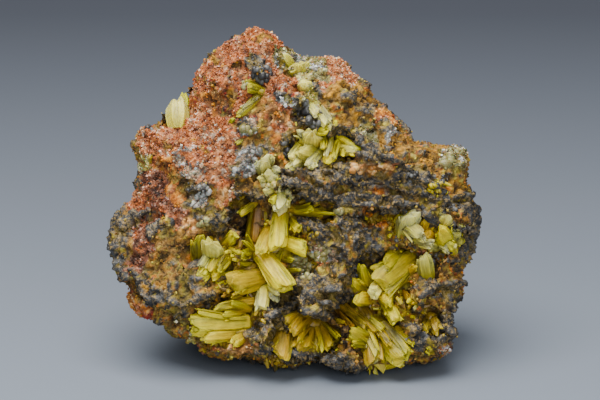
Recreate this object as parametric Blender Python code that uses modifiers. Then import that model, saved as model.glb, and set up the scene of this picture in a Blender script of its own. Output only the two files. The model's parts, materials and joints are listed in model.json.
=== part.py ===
"""A pyromorphite specimen: groups of yellow-green crystals in the hollows of a rusty rock.

The front of the rock is laid out as it is seen from a little above: each place on it is given
in millimetres across to the right, up, and lifted out of the front towards the viewer.
The finished model is in metres, +Z up, and rests on its flat underside at Z = 0.
"""
import math
import random

import bmesh
import bpy
import numpy as np
from mathutils import Matrix, Vector, noise

# Driving dimensions in millimetres and degrees
MM = 0.001
SIGHT_ELEVATION = math.radians(15.0)
SIGHT_DISTANCE = 642.0
SIGHT_AIM = (1.9, 31.9)
BLOCK_CENTRE = (0.0, 29.7)
DEPTH_IN_FRONT = 24.0
DEPTH_BEHIND = 17.0
BLOCK_ROUNDNESS = 2.6
SOCKET_GAP = 0.32
ROCK_VOXEL = 1.05
ROCK_TRIANGLES = 2100
SOCKET_MARGIN = 1.13
BARREL_HALF_WIDTH = 1.45
GROUND_FULLNESS = 1.1
LUMP_HEIGHT = 1.5
LUMP_SIZE = 9.0
PIT_HEIGHT = 0.8
PIT_SIZE = 3.2

# The rock's edge as seen from the front, anticlockwise from the peak: across, up
OUTLINE = [
    (-7.5, 69.5), (-11.5, 67.0), (-16.5, 64.0), (-20.0, 59.0), (-21.0, 55.5), (-22.0, 52.0),
    (-26.0, 49.0), (-32.5, 47.5), (-34.5, 43.5), (-32.5, 39.5), (-32.5, 36.0), (-34.5, 31.0),
    (-37.5, 28.5), (-39.0, 26.0), (-40.0, 21.5), (-38.0, 15.0), (-35.5, 12.5), (-36.0, 11.0),
    (-34.0, 8.0), (-32.5, 7.0), (-28.5, 6.5), (-27.0, 4.0), (-24.0, 2.0), (-20.5, 1.0),
    (-18.0, -1.5), (-10.0, -2.0), (6.0, -2.5), (15.0, -4.0), (22.0, -3.0), (31.0, -2.0),
    (34.0, 0.0), (34.5, 7.5), (36.0, 8.5), (35.0, 9.5), (36.5, 11.5), (36.5, 17.0),
    (39.0, 21.5), (40.0, 26.0), (39.5, 31.5), (37.5, 35.5), (38.5, 40.5), (37.0, 42.5),
    (34.5, 43.5), (26.0, 44.5), (21.0, 50.5), (18.0, 53.5), (16.0, 57.0), (11.0, 61.5),
    (8.0, 62.5), (3.0, 62.5), (-1.0, 64.0), (-4.0, 67.5),
]

# How far back the edge lies at each height: up, away from the viewer
EDGE_DEPTH = [(-6.0, -16.5), (20.0, -3.0), (69.0, -8.0)]

# Hollows in the front: path across and up, half width, depth
HOLLOWS = [
    ([(-10.5, 29.7), (-8.3, 24.2)], 2.6, 9.0),
    ([(0.2, 29.1), (7.5, 29.3)], 1.7, 4.0),
    ([(-3.2, 23.8), (1.9, 18.6)], 4.1, 6.5),
    ([(-9.6, 15.6), (-1.5, 10.9)], 3.4, 7.5),
    ([(-16.3, 7.9), (-8.3, 5.8)], 2.8, 6.0),
    ([(-14.1, 10.5), (-9.2, 10.1)], 1.7, 8.0),
    ([(1.1, 5.8), (8.3, 1.5)], 3.2, 8.5),
    ([(12.6, 8.8), (19.9, 4.9)], 3.6, 8.5),
    ([(16.1, 16.5), (23.8, 18.6)], 3.0, 5.5),
    ([(24.2, 13.1), (24.6, 7.1)], 2.1, 5.0),
    ([(7.3, 28.5), (22.9, 28.0), (31.9, 26.3)], 1.0, 5.0),
    ([(1.9, 42.6), (10.1, 42.8)], 3.0, 5.0),
    ([(22.9, 25.5), (34.0, 23.3)], 2.6, 3.5),
    ([(-18.2, 20.8), (-13.9, 18.2)], 3.0, 4.5),
    ([(-30.6, 28.9), (-28.9, 29.1)], 0.9, 3.0),
    ([(1.5, 50.7), (1.9, 49.9)], 0.9, 3.5),
    ([(29.3, 7.5), (31.0, 4.1)], 1.7, 3.5),
    ([(-0.2, -3.6), (8.3, -4.9)], 1.1, 2.5),
    ([(19.6, 3.0), (20.6, -5.0)], 4.2, 4.5),
    ([(-1.6, 3.5), (-2.8, -2.5)], 2.3, 4.5),
    ([(-12.0, 3.4), (-18.5, 2.2)], 2.4, 4.0),
]

# Ridges and ledges on the front: path across and up, half width, height
RIDGES = [
    ([(-1.9, 34.0), (4.5, 34.9), (11.8, 37.9), (20.3, 40.9)], 2.4, 3.0),
    ([(12.2, 47.3), (16.1, 43.4), (20.3, 40.9)], 1.5, 2.0),
    ([(8.3, 30.8), (22.5, 30.6), (35.7, 28.5)], 1.5, 2.6),
    ([(10.5, 28.9), (11.8, 19.5), (9.6, 13.1), (2.4, 7.1), (-5.3, 1.5)], 2.6, 4.0),
    ([(-30.2, 18.6), (-23.3, 11.3)], 6.4, 2.2),
    ([(-7.5, 60.6), (-6.6, 59.7)], 1.9, 2.2),
    ([(2.6, 53.3), (4.3, 52.4)], 1.5, 2.2),
    ([(1.9, -2.4), (16.5, -3.2)], 1.7, 1.8),
    ([(28.5, 11.3), (32.7, 1.9)], 3.2, 2.2),
    ([(-38.3, 27.2), (-37.0, 22.0)], 2.6, 1.6),
    ([(-16.1, 57.1), (-13.5, 61.8), (-9.2, 65.3)], 3.4, 2.0),
    ([(14.8, 53.7), (19.9, 48.6)], 3.4, 1.6),
]

# Bulges of the underside and the back, where the rock stands: centre, then half size
LUMPS = [
    ((0.0, 7.0, 10.0), (26.0, 20.0, 14.0)),
    ((18.0, -3.0, 7.0), (12.0, 11.0, 9.0)),
    ((-19.0, 16.0, 31.0), (15.0, 11.0, 16.0)),
    ((17.0, 17.0, 31.0), (13.5, 10.0, 11.5)),
    ((-4.0, 19.0, 45.0), (15.0, 9.0, 12.0)),
]

# Flat breaks on the back and the sides: outward direction and distance from the centre
BREAKS = [
    ((-0.55, 0.80, 0.25), 23.0),
    ((0.30, 0.93, -0.20), 20.0),
    ((0.75, 0.60, 0.28), 30.0),
    ((-0.15, 0.75, 0.65), 27.0),
    ((-0.85, 0.35, -0.40), 32.0),
]
BREAK_CENTRE = (0.0, 6.0, 33.0)

# Crystal groups. A ground mass joins each group: across, up, lift, and its three half sizes.
# Then each crystal: its root and its tip as across, up, lift, its half width at the root and
# at the tip, its thickness as a share of its width, and the blades that it is split in.
GROUPS = {
    "central_vug_crystals": (
        (-4.5, 22.0, -8.0, 5.4, 11.0, 3.0),
        [
            (-2.1, 30.6, -5.0, -3.0, 21.8, -0.3, 1.7, 2.1, 0.9, 2),
            (-7.7, 21.8, -5.0, -0.9, 13.1, 1.3, 1.8, 2.4, 0.7, 3),
            (-4.1, 25.6, -5.0, -6.6, 20.6, -0.5, 2.1, 1.6, 0.7, 2),
            (-2.6, 23.8, -6.0, 3.1, 21.4, 0.2, 1.4, 1.8, 0.8, 1),
            (0.2, 27.8, -4.5, 1.6, 25.6, 0.0, 1.0, 1.2, 0.9, 1),
            (-7.9, 20.6, -5.5, -10.8, 20.1, -0.6, 1.0, 1.1, 0.7, 1),
            (-1.5, 22.5, -7.0, -3.0, 18.6, -3.0, 0.6, 0.6, 1.0, 1),
            (-6.8, 31.5, -6.0, -7.5, 22.9, -5.5, 1.1, 1.3, 0.6, 1),
            (-7.1, 31.9, -5.0, -11.1, 28.9, -3.0, 0.7, 0.9, 0.8, 1),
            (-0.6, 30.2, -6.0, 7.1, 29.1, -2.5, 1.1, 0.9, 0.8, 1),
            (-3.4, 16.1, -6.0, -12.8, 13.9, -0.5, 1.9, 2.8, 0.6, 3),
            (-4.5, 18.6, -6.0, -12.2, 15.4, -2.0, 0.9, 1.1, 0.7, 1),
            (-5.8, 14.8, -6.0, -6.4, 8.4, -1.5, 1.3, 1.5, 0.8, 1),
            (-4.1, 14.8, -6.0, -3.6, 10.5, -2.0, 1.1, 1.1, 1.0, 1),
        ],
    ),
    "frosted_crystals": (
        (-4.5, 35.8, -4.0, 2.4, 3.6, 1.8),
        [
            (-5.3, 36.6, -4.5, -6.2, 40.4, 0.3, 1.7, 2.1, 0.8, 2),
            (-4.1, 35.2, -4.5, -4.1, 37.4, 0.3, 1.7, 1.9, 0.9, 1),
            (-2.1, 35.4, -4.0, -1.9, 29.8, 0.7, 1.7, 2.0, 0.9, 2),
        ],
    ),
    "left_vug_crystals": (
        (-16.1, 19.9, -5.0, 3.7, 3.2, 2.4),
        [
            (-20.1, 17.5, -4.0, -19.7, 24.2, 0.0, 1.4, 1.5, 0.6, 1),
            (-16.5, 17.8, -4.5, -16.9, 22.5, 0.9, 2.1, 2.4, 0.7, 2),
            (-14.8, 20.8, -5.0, -19.5, 15.0, 0.7, 2.2, 1.6, 0.7, 2),
            (-13.9, 19.5, -5.0, -16.9, 15.4, -0.3, 1.5, 1.2, 0.8, 1),
            (-14.8, 21.6, -5.0, -12.2, 24.4, 0.0, 1.2, 1.4, 0.8, 1),
            (-13.8, 19.4, -6.0, -14.4, 15.8, -1.6, 1.0, 1.1, 0.7, 1),
        ],
    ),
    "lower_left_crystals": (
        (-11.4, 5.4, -6.0, 3.0, 2.4, 2.4),
        [
            (-9.0, 5.6, -5.0, -21.0, 5.1, 0.5, 2.0, 2.6, 0.7, 3),
            (-10.0, 7.8, -5.5, -14.5, 7.3, -1.0, 1.2, 1.1, 0.7, 1),
            (-8.0, 10.3, -4.5, -16.5, 8.7, -0.2, 1.3, 0.9, 0.7, 1),
            (-9.9, 3.6, -5.0, -18.4, 2.6, 0.8, 1.3, 1.5, 0.7, 2),
            (-9.9, 3.0, -5.0, -12.4, 1.2, -0.5, 1.3, 1.3, 0.8, 1),
        ],
    ),
    "lower_vug_crystals": (
        (3.2, 5.3, -8.0, 4.8, 2.4, 2.6),
        [
            (-1.1, 4.5, -5.5, -2.4, -1.4, 0.8, 1.9, 2.3, 0.5, 2),
            (4.1, 7.5, -6.5, 0.2, 3.6, -2.0, 1.9, 1.7, 0.8, 2),
            (2.8, 7.5, -6.5, -1.3, 5.8, -3.0, 1.5, 1.3, 0.8, 1),
            (4.5, 5.3, -7.0, 2.8, 0.0, -2.0, 1.3, 1.7, 0.8, 1),
            (5.8, 5.3, -7.0, 5.3, -0.2, -3.0, 1.1, 1.2, 0.8, 1),
            (6.4, 5.8, -7.0, 8.4, 0.4, -2.0, 1.0, 1.3, 0.7, 1),
            (1.5, 3.6, -7.0, 0.6, 0.4, -2.5, 1.1, 1.2, 0.8, 1),
        ],
    ),
    "right_vug_crystals": (
        (20.8, 15.6, -6.5, 5.4, 2.8, 2.4),
        [
            (27.8, 20.4, -5.0, 18.9, 13.9, 0.0, 1.6, 3.0, 0.5, 3),
            (25.5, 20.8, -5.5, 20.4, 18.2, -0.4, 1.6, 2.1, 0.6, 1),
            (17.1, 12.2, -6.0, 15.0, 18.0, -0.6, 1.4, 1.0, 0.7, 1),
            (16.9, 11.5, -5.5, 13.1, 14.3, -0.5, 1.6, 1.2, 0.7, 1),
            (17.1, 10.5, -5.0, 14.2, 10.8, 0.0, 1.4, 1.6, 0.8, 1),
            (19.0, 13.5, -6.5, 17.5, 11.8, 1.5, 1.5, 1.7, 0.9, 1),
            (18.6, 12.2, -5.5, 22.5, 5.9, 0.3, 1.1, 1.5, 0.8, 1),
            (21.6, 14.8, -6.0, 20.1, 9.8, -0.4, 1.5, 1.7, 0.8, 1),
            (29.1, 14.1, -4.5, 28.2, 19.9, 0.3, 1.8, 1.9, 0.7, 1),
        ],
    ),
    "right_ledge_crystals": (
        (29.3, 23.9, -4.5, 6.2, 1.6, 1.8),
        [
            (24.0, 23.6, -4.0, 25.3, 28.9, 0.5, 2.2, 2.5, 0.7, 2),
            (31.5, 25.3, -3.5, 33.2, 28.5, 1.5, 1.7, 1.9, 0.7, 1),
            (34.5, 19.9, -4.0, 31.7, 25.3, 1.0, 2.2, 2.2, 0.8, 2),
            (30.6, 23.0, -4.0, 28.9, 24.8, 0.0, 1.3, 1.6, 0.8, 1),
            (33.8, 23.0, -4.0, 35.3, 25.0, 0.0, 1.1, 1.3, 0.8, 1),
        ],
    ),
    "base_crystals": (
        (17.3, 4.4, -8.0, 4.4, 2.8, 2.6),
        [
            (15.8, 5.8, -7.0, 19.6, -4.4, 1.4, 2.6, 3.2, 0.6, 4),
            (18.5, 5.0, -6.0, 24.0, -1.8, 1.0, 2.4, 3.0, 0.6, 3),
            (17.0, 4.2, -5.5, 17.6, -2.6, 0.6, 1.6, 2.0, 0.7, 1),
            (18.2, 0.4, -4.5, 12.6, 3.6, -0.6, 2.0, 1.6, 0.6, 1),
            (21.5, 3.5, -5.0, 25.2, -1.2, 0.3, 1.4, 1.6, 0.7, 1),
            (10.5, 9.2, -7.0, 15.8, 4.9, -2.5, 0.7, 0.9, 0.8, 1),
            (13.1, 9.2, -7.0, 19.7, 4.2, -1.5, 0.8, 1.0, 0.8, 1),
        ],
    ),
    "corner_crystals": (
        (29.7, 6.6, -3.0, 1.3, 1.3, 1.2),
        [
            (29.3, 7.5, -3.5, 31.5, 3.9, 0.0, 1.1, 1.3, 0.8, 1),
            (29.7, 7.1, -3.5, 28.5, 4.1, -0.5, 0.9, 1.1, 0.8, 1),
        ],
    ),
    "upper_pocket_crystals": (
        (5.8, 42.8, -5.5, 4.5, 1.9, 2.2),
        [
            (4.5, 43.0, -5.0, 4.5, 46.4, 0.8, 2.3, 2.7, 0.6, 2),
            (6.2, 42.2, -5.5, 2.0, 42.6, 0.2, 1.9, 2.3, 0.8, 1),
            (7.9, 43.4, -5.5, 8.3, 39.8, 0.6, 1.6, 1.8, 0.8, 1),
            (8.8, 43.2, -5.5, 13.6, 42.6, 0.5, 1.6, 1.3, 0.7, 1),
            (2.6, 42.0, -5.0, 0.2, 39.8, 0.8, 1.6, 1.8, 0.8, 1),
        ],
    ),
    "crest_blades": (
        (3.0, 55.0, -2.0, 1.3, 1.3, 1.5),
        [
            (3.0, 54.6, -3.0, 3.0, 56.9, 1.1, 1.5, 1.8, 0.8, 1),
            (3.4, 54.4, -2.5, 7.9, 48.2, 1.4, 1.1, 1.5, 0.7, 1),
        ],
    ),
    "summit_crystals": (
        (0.6, 59.6, -3.0, 1.7, 1.4, 1.5),
        [
            (0.2, 60.0, -3.5, -1.7, 63.1, 0.0, 1.1, 1.1, 0.8, 1),
            (1.1, 58.6, -3.5, 1.1, 60.6, 0.8, 1.6, 1.8, 0.8, 1),
            (1.9, 59.5, -3.5, 3.6, 61.4, 0.0, 1.3, 1.5, 0.8, 1),
        ],
    ),
    "crust_blades": (
        (-6.2, 55.0, -1.5, 1.1, 0.9, 1.2),
        [
            (-5.8, 55.0, -2.0, -9.2, 55.9, 0.6, 0.9, 1.1, 0.7, 1),
            (-5.8, 55.2, -2.0, -11.3, 49.9, 0.5, 0.7, 0.9, 0.7, 1),
        ],
    ),
    "shoulder_crystals": (
        (-24.2, 47.7, -2.5, 1.7, 1.3, 1.6),
        [
            (-24.4, 46.9, -2.5, -24.4, 53.1, 6.5, 2.4, 2.7, 0.9, 2),
            (-22.9, 48.6, -2.5, -22.9, 54.8, 2.5, 1.3, 1.3, 0.9, 1),
        ],
    ),
}

# Colour, roughness and metallic value of each sub-part
ROCK_LOOK = ((0.23, 0.12, 0.045), 0.85, 0.0)
CRYSTAL_LOOKS = {
    "central_vug_crystals": ((0.50, 0.42, 0.09), 0.30, 0.0),
    "frosted_crystals": ((0.55, 0.52, 0.27), 0.45, 0.0),
    "left_vug_crystals": ((0.40, 0.36, 0.11), 0.35, 0.0),
    "lower_left_crystals": ((0.42, 0.33, 0.08), 0.35, 0.0),
    "lower_vug_crystals": ((0.36, 0.29, 0.06), 0.35, 0.0),
    "right_vug_crystals": ((0.36, 0.32, 0.07), 0.30, 0.0),
    "right_ledge_crystals": ((0.49, 0.44, 0.13), 0.35, 0.0),
    "base_crystals": ((0.42, 0.33, 0.10), 0.35, 0.0),
    "corner_crystals": ((0.38, 0.31, 0.08), 0.35, 0.0),
    "upper_pocket_crystals": ((0.46, 0.41, 0.13), 0.35, 0.0),
    "crest_blades": ((0.47, 0.42, 0.16), 0.35, 0.0),
    "summit_crystals": ((0.32, 0.31, 0.16), 0.30, 0.0),
    "crust_blades": ((0.34, 0.32, 0.16), 0.35, 0.0),
    "shoulder_crystals": ((0.50, 0.48, 0.26), 0.40, 0.0),
}


def clear_scene():
    """Remove whatever the open file holds."""
    for thing in list(bpy.data.objects):
        bpy.data.objects.remove(thing, do_unlink=True)
    for group in list(bpy.data.collections):
        bpy.data.collections.remove(group)


def new_collection(name):
    """Add a collection to the scene."""
    group = bpy.data.collections.new(name)
    bpy.context.scene.collection.children.link(group)
    return group


def new_material(name, look):
    """Make a plain material from a colour, a roughness and a metallic value."""
    colour, roughness, metallic = look
    material = bpy.data.materials.new(name)
    material.use_nodes = True
    shader = material.node_tree.nodes["Principled BSDF"]
    shader.inputs["Base Color"].default_value = (*colour, 1.0)
    shader.inputs["Roughness"].default_value = roughness
    shader.inputs["Metallic"].default_value = metallic
    return material


def new_object(name, form, group):
    """Turn a bmesh into an object of the given collection."""
    mesh = bpy.data.meshes.new(name)
    form.to_mesh(mesh)
    form.free()
    thing = bpy.data.objects.new(name, mesh)
    group.objects.link(thing)
    return thing


def bake(thing):
    """Put an object's evaluated mesh in place of its mesh and its modifiers."""
    bpy.context.view_layer.update()
    graph = bpy.context.evaluated_depsgraph_get()
    finished = bpy.data.meshes.new_from_object(thing.evaluated_get(graph))
    raw = thing.data
    thing.modifiers.clear()
    thing.data = finished
    bpy.data.meshes.remove(raw)


def smoothstep(low, high, value):
    """Rise smoothly from 0 at low to 1 at high."""
    share = np.clip((value - low) / (high - low), 0.0, 1.0)
    return share * share * (3.0 - 2.0 * share)


def to_world(across, up, depth):
    """Turn places seen from the front into the model's own axes, in millimetres."""
    spread = 1.0 + depth / SIGHT_DISTANCE
    across = SIGHT_AIM[0] + (across - SIGHT_AIM[0]) * spread
    up = SIGHT_AIM[1] + (up - SIGHT_AIM[1]) * spread
    sine = math.sin(SIGHT_ELEVATION)
    cosine = math.cos(SIGHT_ELEVATION)
    return across, up * sine + depth * cosine, up * cosine - depth * sine


def edge_radius(angle):
    """Distance from the block's centre to its outline, at each angle."""
    corners = np.array(OUTLINE) - np.array(BLOCK_CENTRE)
    angles = np.arctan2(corners[:, 1], corners[:, 0])
    order = np.argsort(angles)
    radii = np.hypot(corners[:, 0], corners[:, 1])
    return np.interp(angle, angles[order], radii[order], period=2.0 * math.pi)


def edge_depth(up):
    """How far back the outline lies, by height."""
    heights, depths = zip(*EDGE_DEPTH)
    return np.interp(up, heights, depths)


def front_depth(across, up):
    """Depth of the plain front surface at a place, before hollows and ridges."""
    side = across - BLOCK_CENTRE[0]
    rise = up - BLOCK_CENTRE[1]
    reach = np.hypot(side, rise) / edge_radius(np.arctan2(rise, side))
    reach = np.minimum(reach, 1.0)
    bulge = (1.0 - reach ** BLOCK_ROUNDNESS) ** (1.0 / BLOCK_ROUNDNESS)
    return edge_depth(up) * reach ** 2 - DEPTH_IN_FRONT * bulge


def path_distance(across, up, path):
    """Distance from each place to a path of straight stretches."""
    nearest = np.full(across.shape, np.inf)
    for (start_x, start_y), (end_x, end_y) in zip(path, path[1:]):
        run_x = end_x - start_x
        run_y = end_y - start_y
        along = (across - start_x) * run_x + (up - start_y) * run_y
        along = np.clip(along / (run_x ** 2 + run_y ** 2), 0.0, 1.0)
        gap = np.hypot(across - start_x - along * run_x, up - start_y - along * run_y)
        nearest = np.minimum(nearest, gap)
    return nearest


def relief(across, up):
    """Height of hollows and ridges over the plain front: positive towards the viewer."""
    depth = np.zeros(across.shape)
    for path, half_width, deep in HOLLOWS:
        share = 1.0 - smoothstep(0.55, 1.35, path_distance(across, up, path) / half_width)
        depth = np.maximum(depth, deep * share)
    height = np.zeros(across.shape)
    for path, half_width, high in RIDGES:
        share = 1.0 - smoothstep(0.3, 1.3, path_distance(across, up, path) / half_width)
        height = np.maximum(height, high * share)
    return height - depth


def ball_points(form):
    """The vertices of a form as one array."""
    return np.array([vert.co[:] for vert in form.verts])


def move_points(form, points):
    """Put a form's vertices at new places."""
    for vert, place in zip(form.verts, points):
        vert.co = place


def roughen(form, quiet):
    """Push the surface in and out by two sizes of noise, less where quiet is near 1."""
    form.normal_update()
    for vert, share in zip(form.verts, quiet):
        lump = noise.fractal(vert.co / LUMP_SIZE, 0.9, 2.1, 3)
        pit = noise.fractal(vert.co / PIT_SIZE + Vector((7.0, 3.0, 1.0)), 0.8, 2.0, 2)
        vert.co += vert.normal * (LUMP_HEIGHT * lump + PIT_HEIGHT * pit) * (1.0 - 0.8 * share)


def block_form():
    """The main block: a ball pulled out to the outline, with the relief on its front."""
    form = bmesh.new()
    bmesh.ops.create_icosphere(form, subdivisions=7, radius=1.0)
    ball = ball_points(form)
    flat = np.hypot(ball[:, 0], ball[:, 1])
    angle = np.arctan2(ball[:, 1], ball[:, 0])
    reach = flat ** (2.0 / BLOCK_ROUNDNESS)
    bulge = np.abs(ball[:, 2]) ** (2.0 / BLOCK_ROUNDNESS)
    radius = edge_radius(angle) * reach
    across = BLOCK_CENTRE[0] + radius * np.cos(angle)
    up = BLOCK_CENTRE[1] + radius * np.sin(angle)
    in_front = ball[:, 2] > 0.0
    depth = edge_depth(up) * reach ** 2
    depth += np.where(in_front, -DEPTH_IN_FRONT, DEPTH_BEHIND) * bulge
    depth -= np.where(in_front, relief(across, up) * smoothstep(0.1, 0.45, bulge), 0.0)
    move_points(form, np.column_stack(to_world(across, up, depth)))
    bmesh.ops.reverse_faces(form, faces=form.faces)
    bmesh.ops.recalc_face_normals(form, faces=form.faces)
    roughen(form, 1.0 - smoothstep(0.1, 0.45, bulge))
    return form


def lump_form(centre, half_size):
    """A rough bulge of the underside or the back."""
    form = bmesh.new()
    bmesh.ops.create_icosphere(form, subdivisions=5, radius=1.0)
    move_points(form, ball_points(form) * np.array(half_size) + np.array(centre))
    roughen(form, np.zeros(len(form.verts)))
    return form


def break_flat(form):
    """Press the surface back where it stands beyond a flat break."""
    points = ball_points(form)
    for direction, distance in BREAKS:
        outward = np.array(Vector(direction).normalized())
        over = (points - np.array(BREAK_CENTRE)) @ outward - distance
        points -= np.outer(np.maximum(over, 0.0) * 0.88, outward)
    move_points(form, points)


def make_rock(group):
    """The rock without its sockets: block and bulges in one skin, cut flat at Z = 0."""
    form = block_form()
    for centre, half_size in LUMPS:
        lump = lump_form(centre, half_size)
        bulge = bpy.data.meshes.new("bulge")
        lump.to_mesh(bulge)
        lump.free()
        form.from_mesh(bulge)
        bpy.data.meshes.remove(bulge)
    break_flat(form)
    bmesh.ops.scale(form, vec=(MM, MM, MM), verts=form.verts)
    rock = new_object("rock_matrix", form, group)
    skin = rock.modifiers.new("one_skin", "REMESH")
    skin.mode = "VOXEL"
    skin.voxel_size = ROCK_VOXEL * MM
    bake(rock)
    keep_largest_body(rock)
    few = rock.modifiers.new("few_faces", "DECIMATE")
    few.ratio = ROCK_TRIANGLES / (2.0 * len(rock.data.polygons))
    bake(rock)
    return rock


def keep_largest_body(thing):
    """Drop loose fragments of a mesh, and the skins of hollows sealed inside it."""
    form = bmesh.new()
    form.from_mesh(thing.data)
    unseen = set(form.verts)
    bodies = []
    while unseen:
        body = {unseen.pop()}
        edge_of_body = list(body)
        while edge_of_body:
            vert = edge_of_body.pop()
            for edge in vert.link_edges:
                other = edge.other_vert(vert)
                if other in unseen:
                    unseen.remove(other)
                    body.add(other)
                    edge_of_body.append(other)
        bodies.append(body)
    bodies.sort(key=len)
    for body in bodies[:-1]:
        bmesh.ops.delete(form, geom=list(body), context="VERTS")
    form.to_mesh(thing.data)
    form.free()


def front_place(across, up, lift):
    """A place on the front, lifted towards the viewer, in the model's axes and metres."""
    depth = float(front_depth(np.array(across), np.array(up))) - lift
    return Vector(to_world(across, up, depth)) * MM


def sight_direction():
    """The direction from the specimen to the viewer."""
    return Vector((0.0, -math.cos(SIGHT_ELEVATION), math.sin(SIGHT_ELEVATION)))


def blade_form(root, tip, root_half, tip_half, thickness, tilt):
    """One six-sided blade from root to tip: widest past its middle, with a slanted end."""
    along = tip - root
    length = along.length
    along.normalize()
    side = along.cross(sight_direction()).normalized()
    front = side.cross(along)
    form = bmesh.new()
    bmesh.ops.create_cone(form, cap_ends=True, segments=6, radius1=1.0, radius2=1.0, depth=1.0)
    if tip_half > BARREL_HALF_WIDTH * MM:
        rails = [edge for edge in form.edges if abs(edge.verts[0].co.z - edge.verts[1].co.z) > 0.5]
        bmesh.ops.subdivide_edges(form, edges=rails, cuts=1)
    turn = Matrix.Rotation(math.radians(30.0), 3, "Z")
    for vert in form.verts:
        share = vert.co.z + 0.5
        spot = turn @ vert.co
        half = root_half + (tip_half - root_half) * share
        if 0.25 < share < 0.75:
            half *= 1.07
            share = 0.62
        if share > 0.9:
            half *= 0.93
        reach = length * share
        if share > 0.9:
            reach += tilt * spot.x * half
        vert.co = root + along * reach + side * spot.x * half + front * spot.y * half * thickness
    bmesh.ops.recalc_face_normals(form, faces=form.faces)
    return form


def crystal_forms(row, dice):
    """The blades of one crystal."""
    root = front_place(*row[0:3])
    tip = front_place(*row[3:6])
    root_half, tip_half, thickness, blades = row[6:10]
    along = tip - root
    side = along.cross(sight_direction()).normalized()
    root_step = 2.0 * root_half * MM / blades
    tip_step = 2.0 * tip_half * MM / blades
    wide = 1.25 / blades if blades > 1 else 1.0
    forms = []
    for number in range(blades):
        shift = number - 0.5 * (blades - 1)
        short = dice.uniform(0.0, 0.16) if blades > 1 else 0.0
        start = root + side * shift * root_step
        end = tip + side * shift * tip_step - along * short
        forms.append(blade_form(
            start, end, root_half * MM * wide, tip_half * MM * wide,
            max(thickness, min(1.0, thickness * blades * 0.8)), dice.uniform(-0.3, 0.3),
        ))
    return forms


def socket_form(row):
    """The box that one crystal takes out of the rock, a little larger than the crystal."""
    root = front_place(*row[0:3])
    tip = front_place(*row[3:6])
    root_half, tip_half, thickness = row[6:9]
    along = (tip - root).normalized()
    side = along.cross(sight_direction()).normalized()
    front = side.cross(along)
    gap = SOCKET_GAP * MM
    form = bmesh.new()
    bmesh.ops.create_cube(form, size=2.0)
    for vert in form.verts:
        at_tip = vert.co.z > 0.0
        half = (tip_half if at_tip else root_half) * MM * SOCKET_MARGIN
        end = tip + along * gap * 2.0 if at_tip else root - along * gap * 2.0
        width = side * vert.co.x * (half + gap)
        depth = front * vert.co.y * (half * thickness * 0.87 + gap)
        vert.co = end + width + depth
    bmesh.ops.recalc_face_normals(form, faces=form.faces)
    return form


def ground_form(row, grow):
    """The ground mass that joins a group's crystals, grown outwards by some millimetres."""
    centre = front_place(*row[0:3])
    half_size = [(value * GROUND_FULLNESS + grow) * MM for value in row[3:6]]
    form = bmesh.new()
    bmesh.ops.create_icosphere(form, subdivisions=1, radius=1.0)
    tilt = Matrix.Rotation(0.5 * math.pi - SIGHT_ELEVATION, 3, "X")
    for vert in form.verts:
        spot = Vector([size * value for size, value in zip(half_size, vert.co)])
        vert.co = centre + tilt @ spot
    return form


def unite(thing, pieces, title):
    """Join a collection of closed pieces to an object and remove them."""
    join = thing.modifiers.new(title, "BOOLEAN")
    join.operation = "UNION"
    join.solver = "EXACT"
    join.operand_type = "COLLECTION"
    join.collection = pieces
    bake(thing)
    for piece in list(pieces.objects):
        bpy.data.objects.remove(piece, do_unlink=True)
    bpy.data.collections.remove(pieces)


def make_group(name, group, seed):
    """One crystal group: its ground mass united with every blade of its crystals."""
    ground, crystals = GROUPS[name]
    dice = random.Random(seed)
    loose = new_collection(name + "_blades")
    for number, row in enumerate(crystals):
        for part, form in enumerate(crystal_forms(row, dice)):
            new_object(f"{name}_blade_{number}_{part}", form, loose)
    body = new_object(name, ground_form(ground, 0.0), group)
    unite(body, loose, "grown_together")
    keep_largest_body(body)
    return body


def make_socket(name, group):
    """The cutter for one crystal group: its ground mass and a box round each crystal."""
    ground, crystals = GROUPS[name]
    loose = new_collection(name + "_boxes")
    for number, row in enumerate(crystals):
        new_object(f"{name}_box_{number}", socket_form(row), loose)
    cutter = new_object(name + "_socket", ground_form(ground, SOCKET_GAP / 0.79), group)
    unite(cutter, loose, "one_socket")
    keep_largest_body(cutter)
    return cutter


def make_floor_cutter(group):
    """A box under Z = 0, which cuts the rock's flat underside."""
    form = bmesh.new()
    bmesh.ops.create_cube(form, size=0.2)
    bmesh.ops.translate(form, vec=(0.0, 0.0, -0.1), verts=form.verts)
    return new_object("floor_cutter", form, group)


def hide_cutter(cutter):
    """Leave a cutter out of renders and show it as wires."""
    cutter.hide_render = True
    cutter.display_type = "WIRE"


def cut(thing, cutters):
    """Take a collection of cutters away from a mesh."""
    taken = thing.modifiers.new("sockets", "BOOLEAN")
    taken.operation = "DIFFERENCE"
    taken.solver = "EXACT"
    taken.operand_type = "COLLECTION"
    taken.collection = cutters
    bake(thing)
    keep_largest_body(thing)


def shade(thing, angle):
    """Shade smooth, with sharp edges where faces meet at more than an angle."""
    thing.data.shade_smooth()
    thing.data.set_sharp_from_angle(angle=math.radians(angle))


def main():
    """Build the rock and every crystal group."""
    clear_scene()
    specimen = new_collection("pyromorphite_specimen")
    cutters = new_collection("cutters")
    rock = make_rock(specimen)
    rock.data.materials.append(new_material("rock", ROCK_LOOK))
    make_floor_cutter(cutters)
    for seed, name in enumerate(GROUPS):
        body = make_group(name, specimen, seed)
        body.data.materials.clear()
        body.data.materials.append(new_material(name, CRYSTAL_LOOKS[name]))
        shade(body, 20.0)
        make_socket(name, cutters)
    for cutter in cutters.objects:
        hide_cutter(cutter)
    cut(rock, cutters)
    shade(rock, 40.0)


main()
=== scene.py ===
"""A pyromorphite specimen: striated yellow-green crystals in the hollows of a rusty rock.

The front of the rock is laid out as it is seen from a little above: each place on it is given
in millimetres across to the right, up, and lifted out of the front towards the viewer, as in
the solid model. The scene makes the fine surface of the rock, its grains and coatings, and the
bundles of rods that each crystal is made of.
"""

import json
import math
import random

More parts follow.
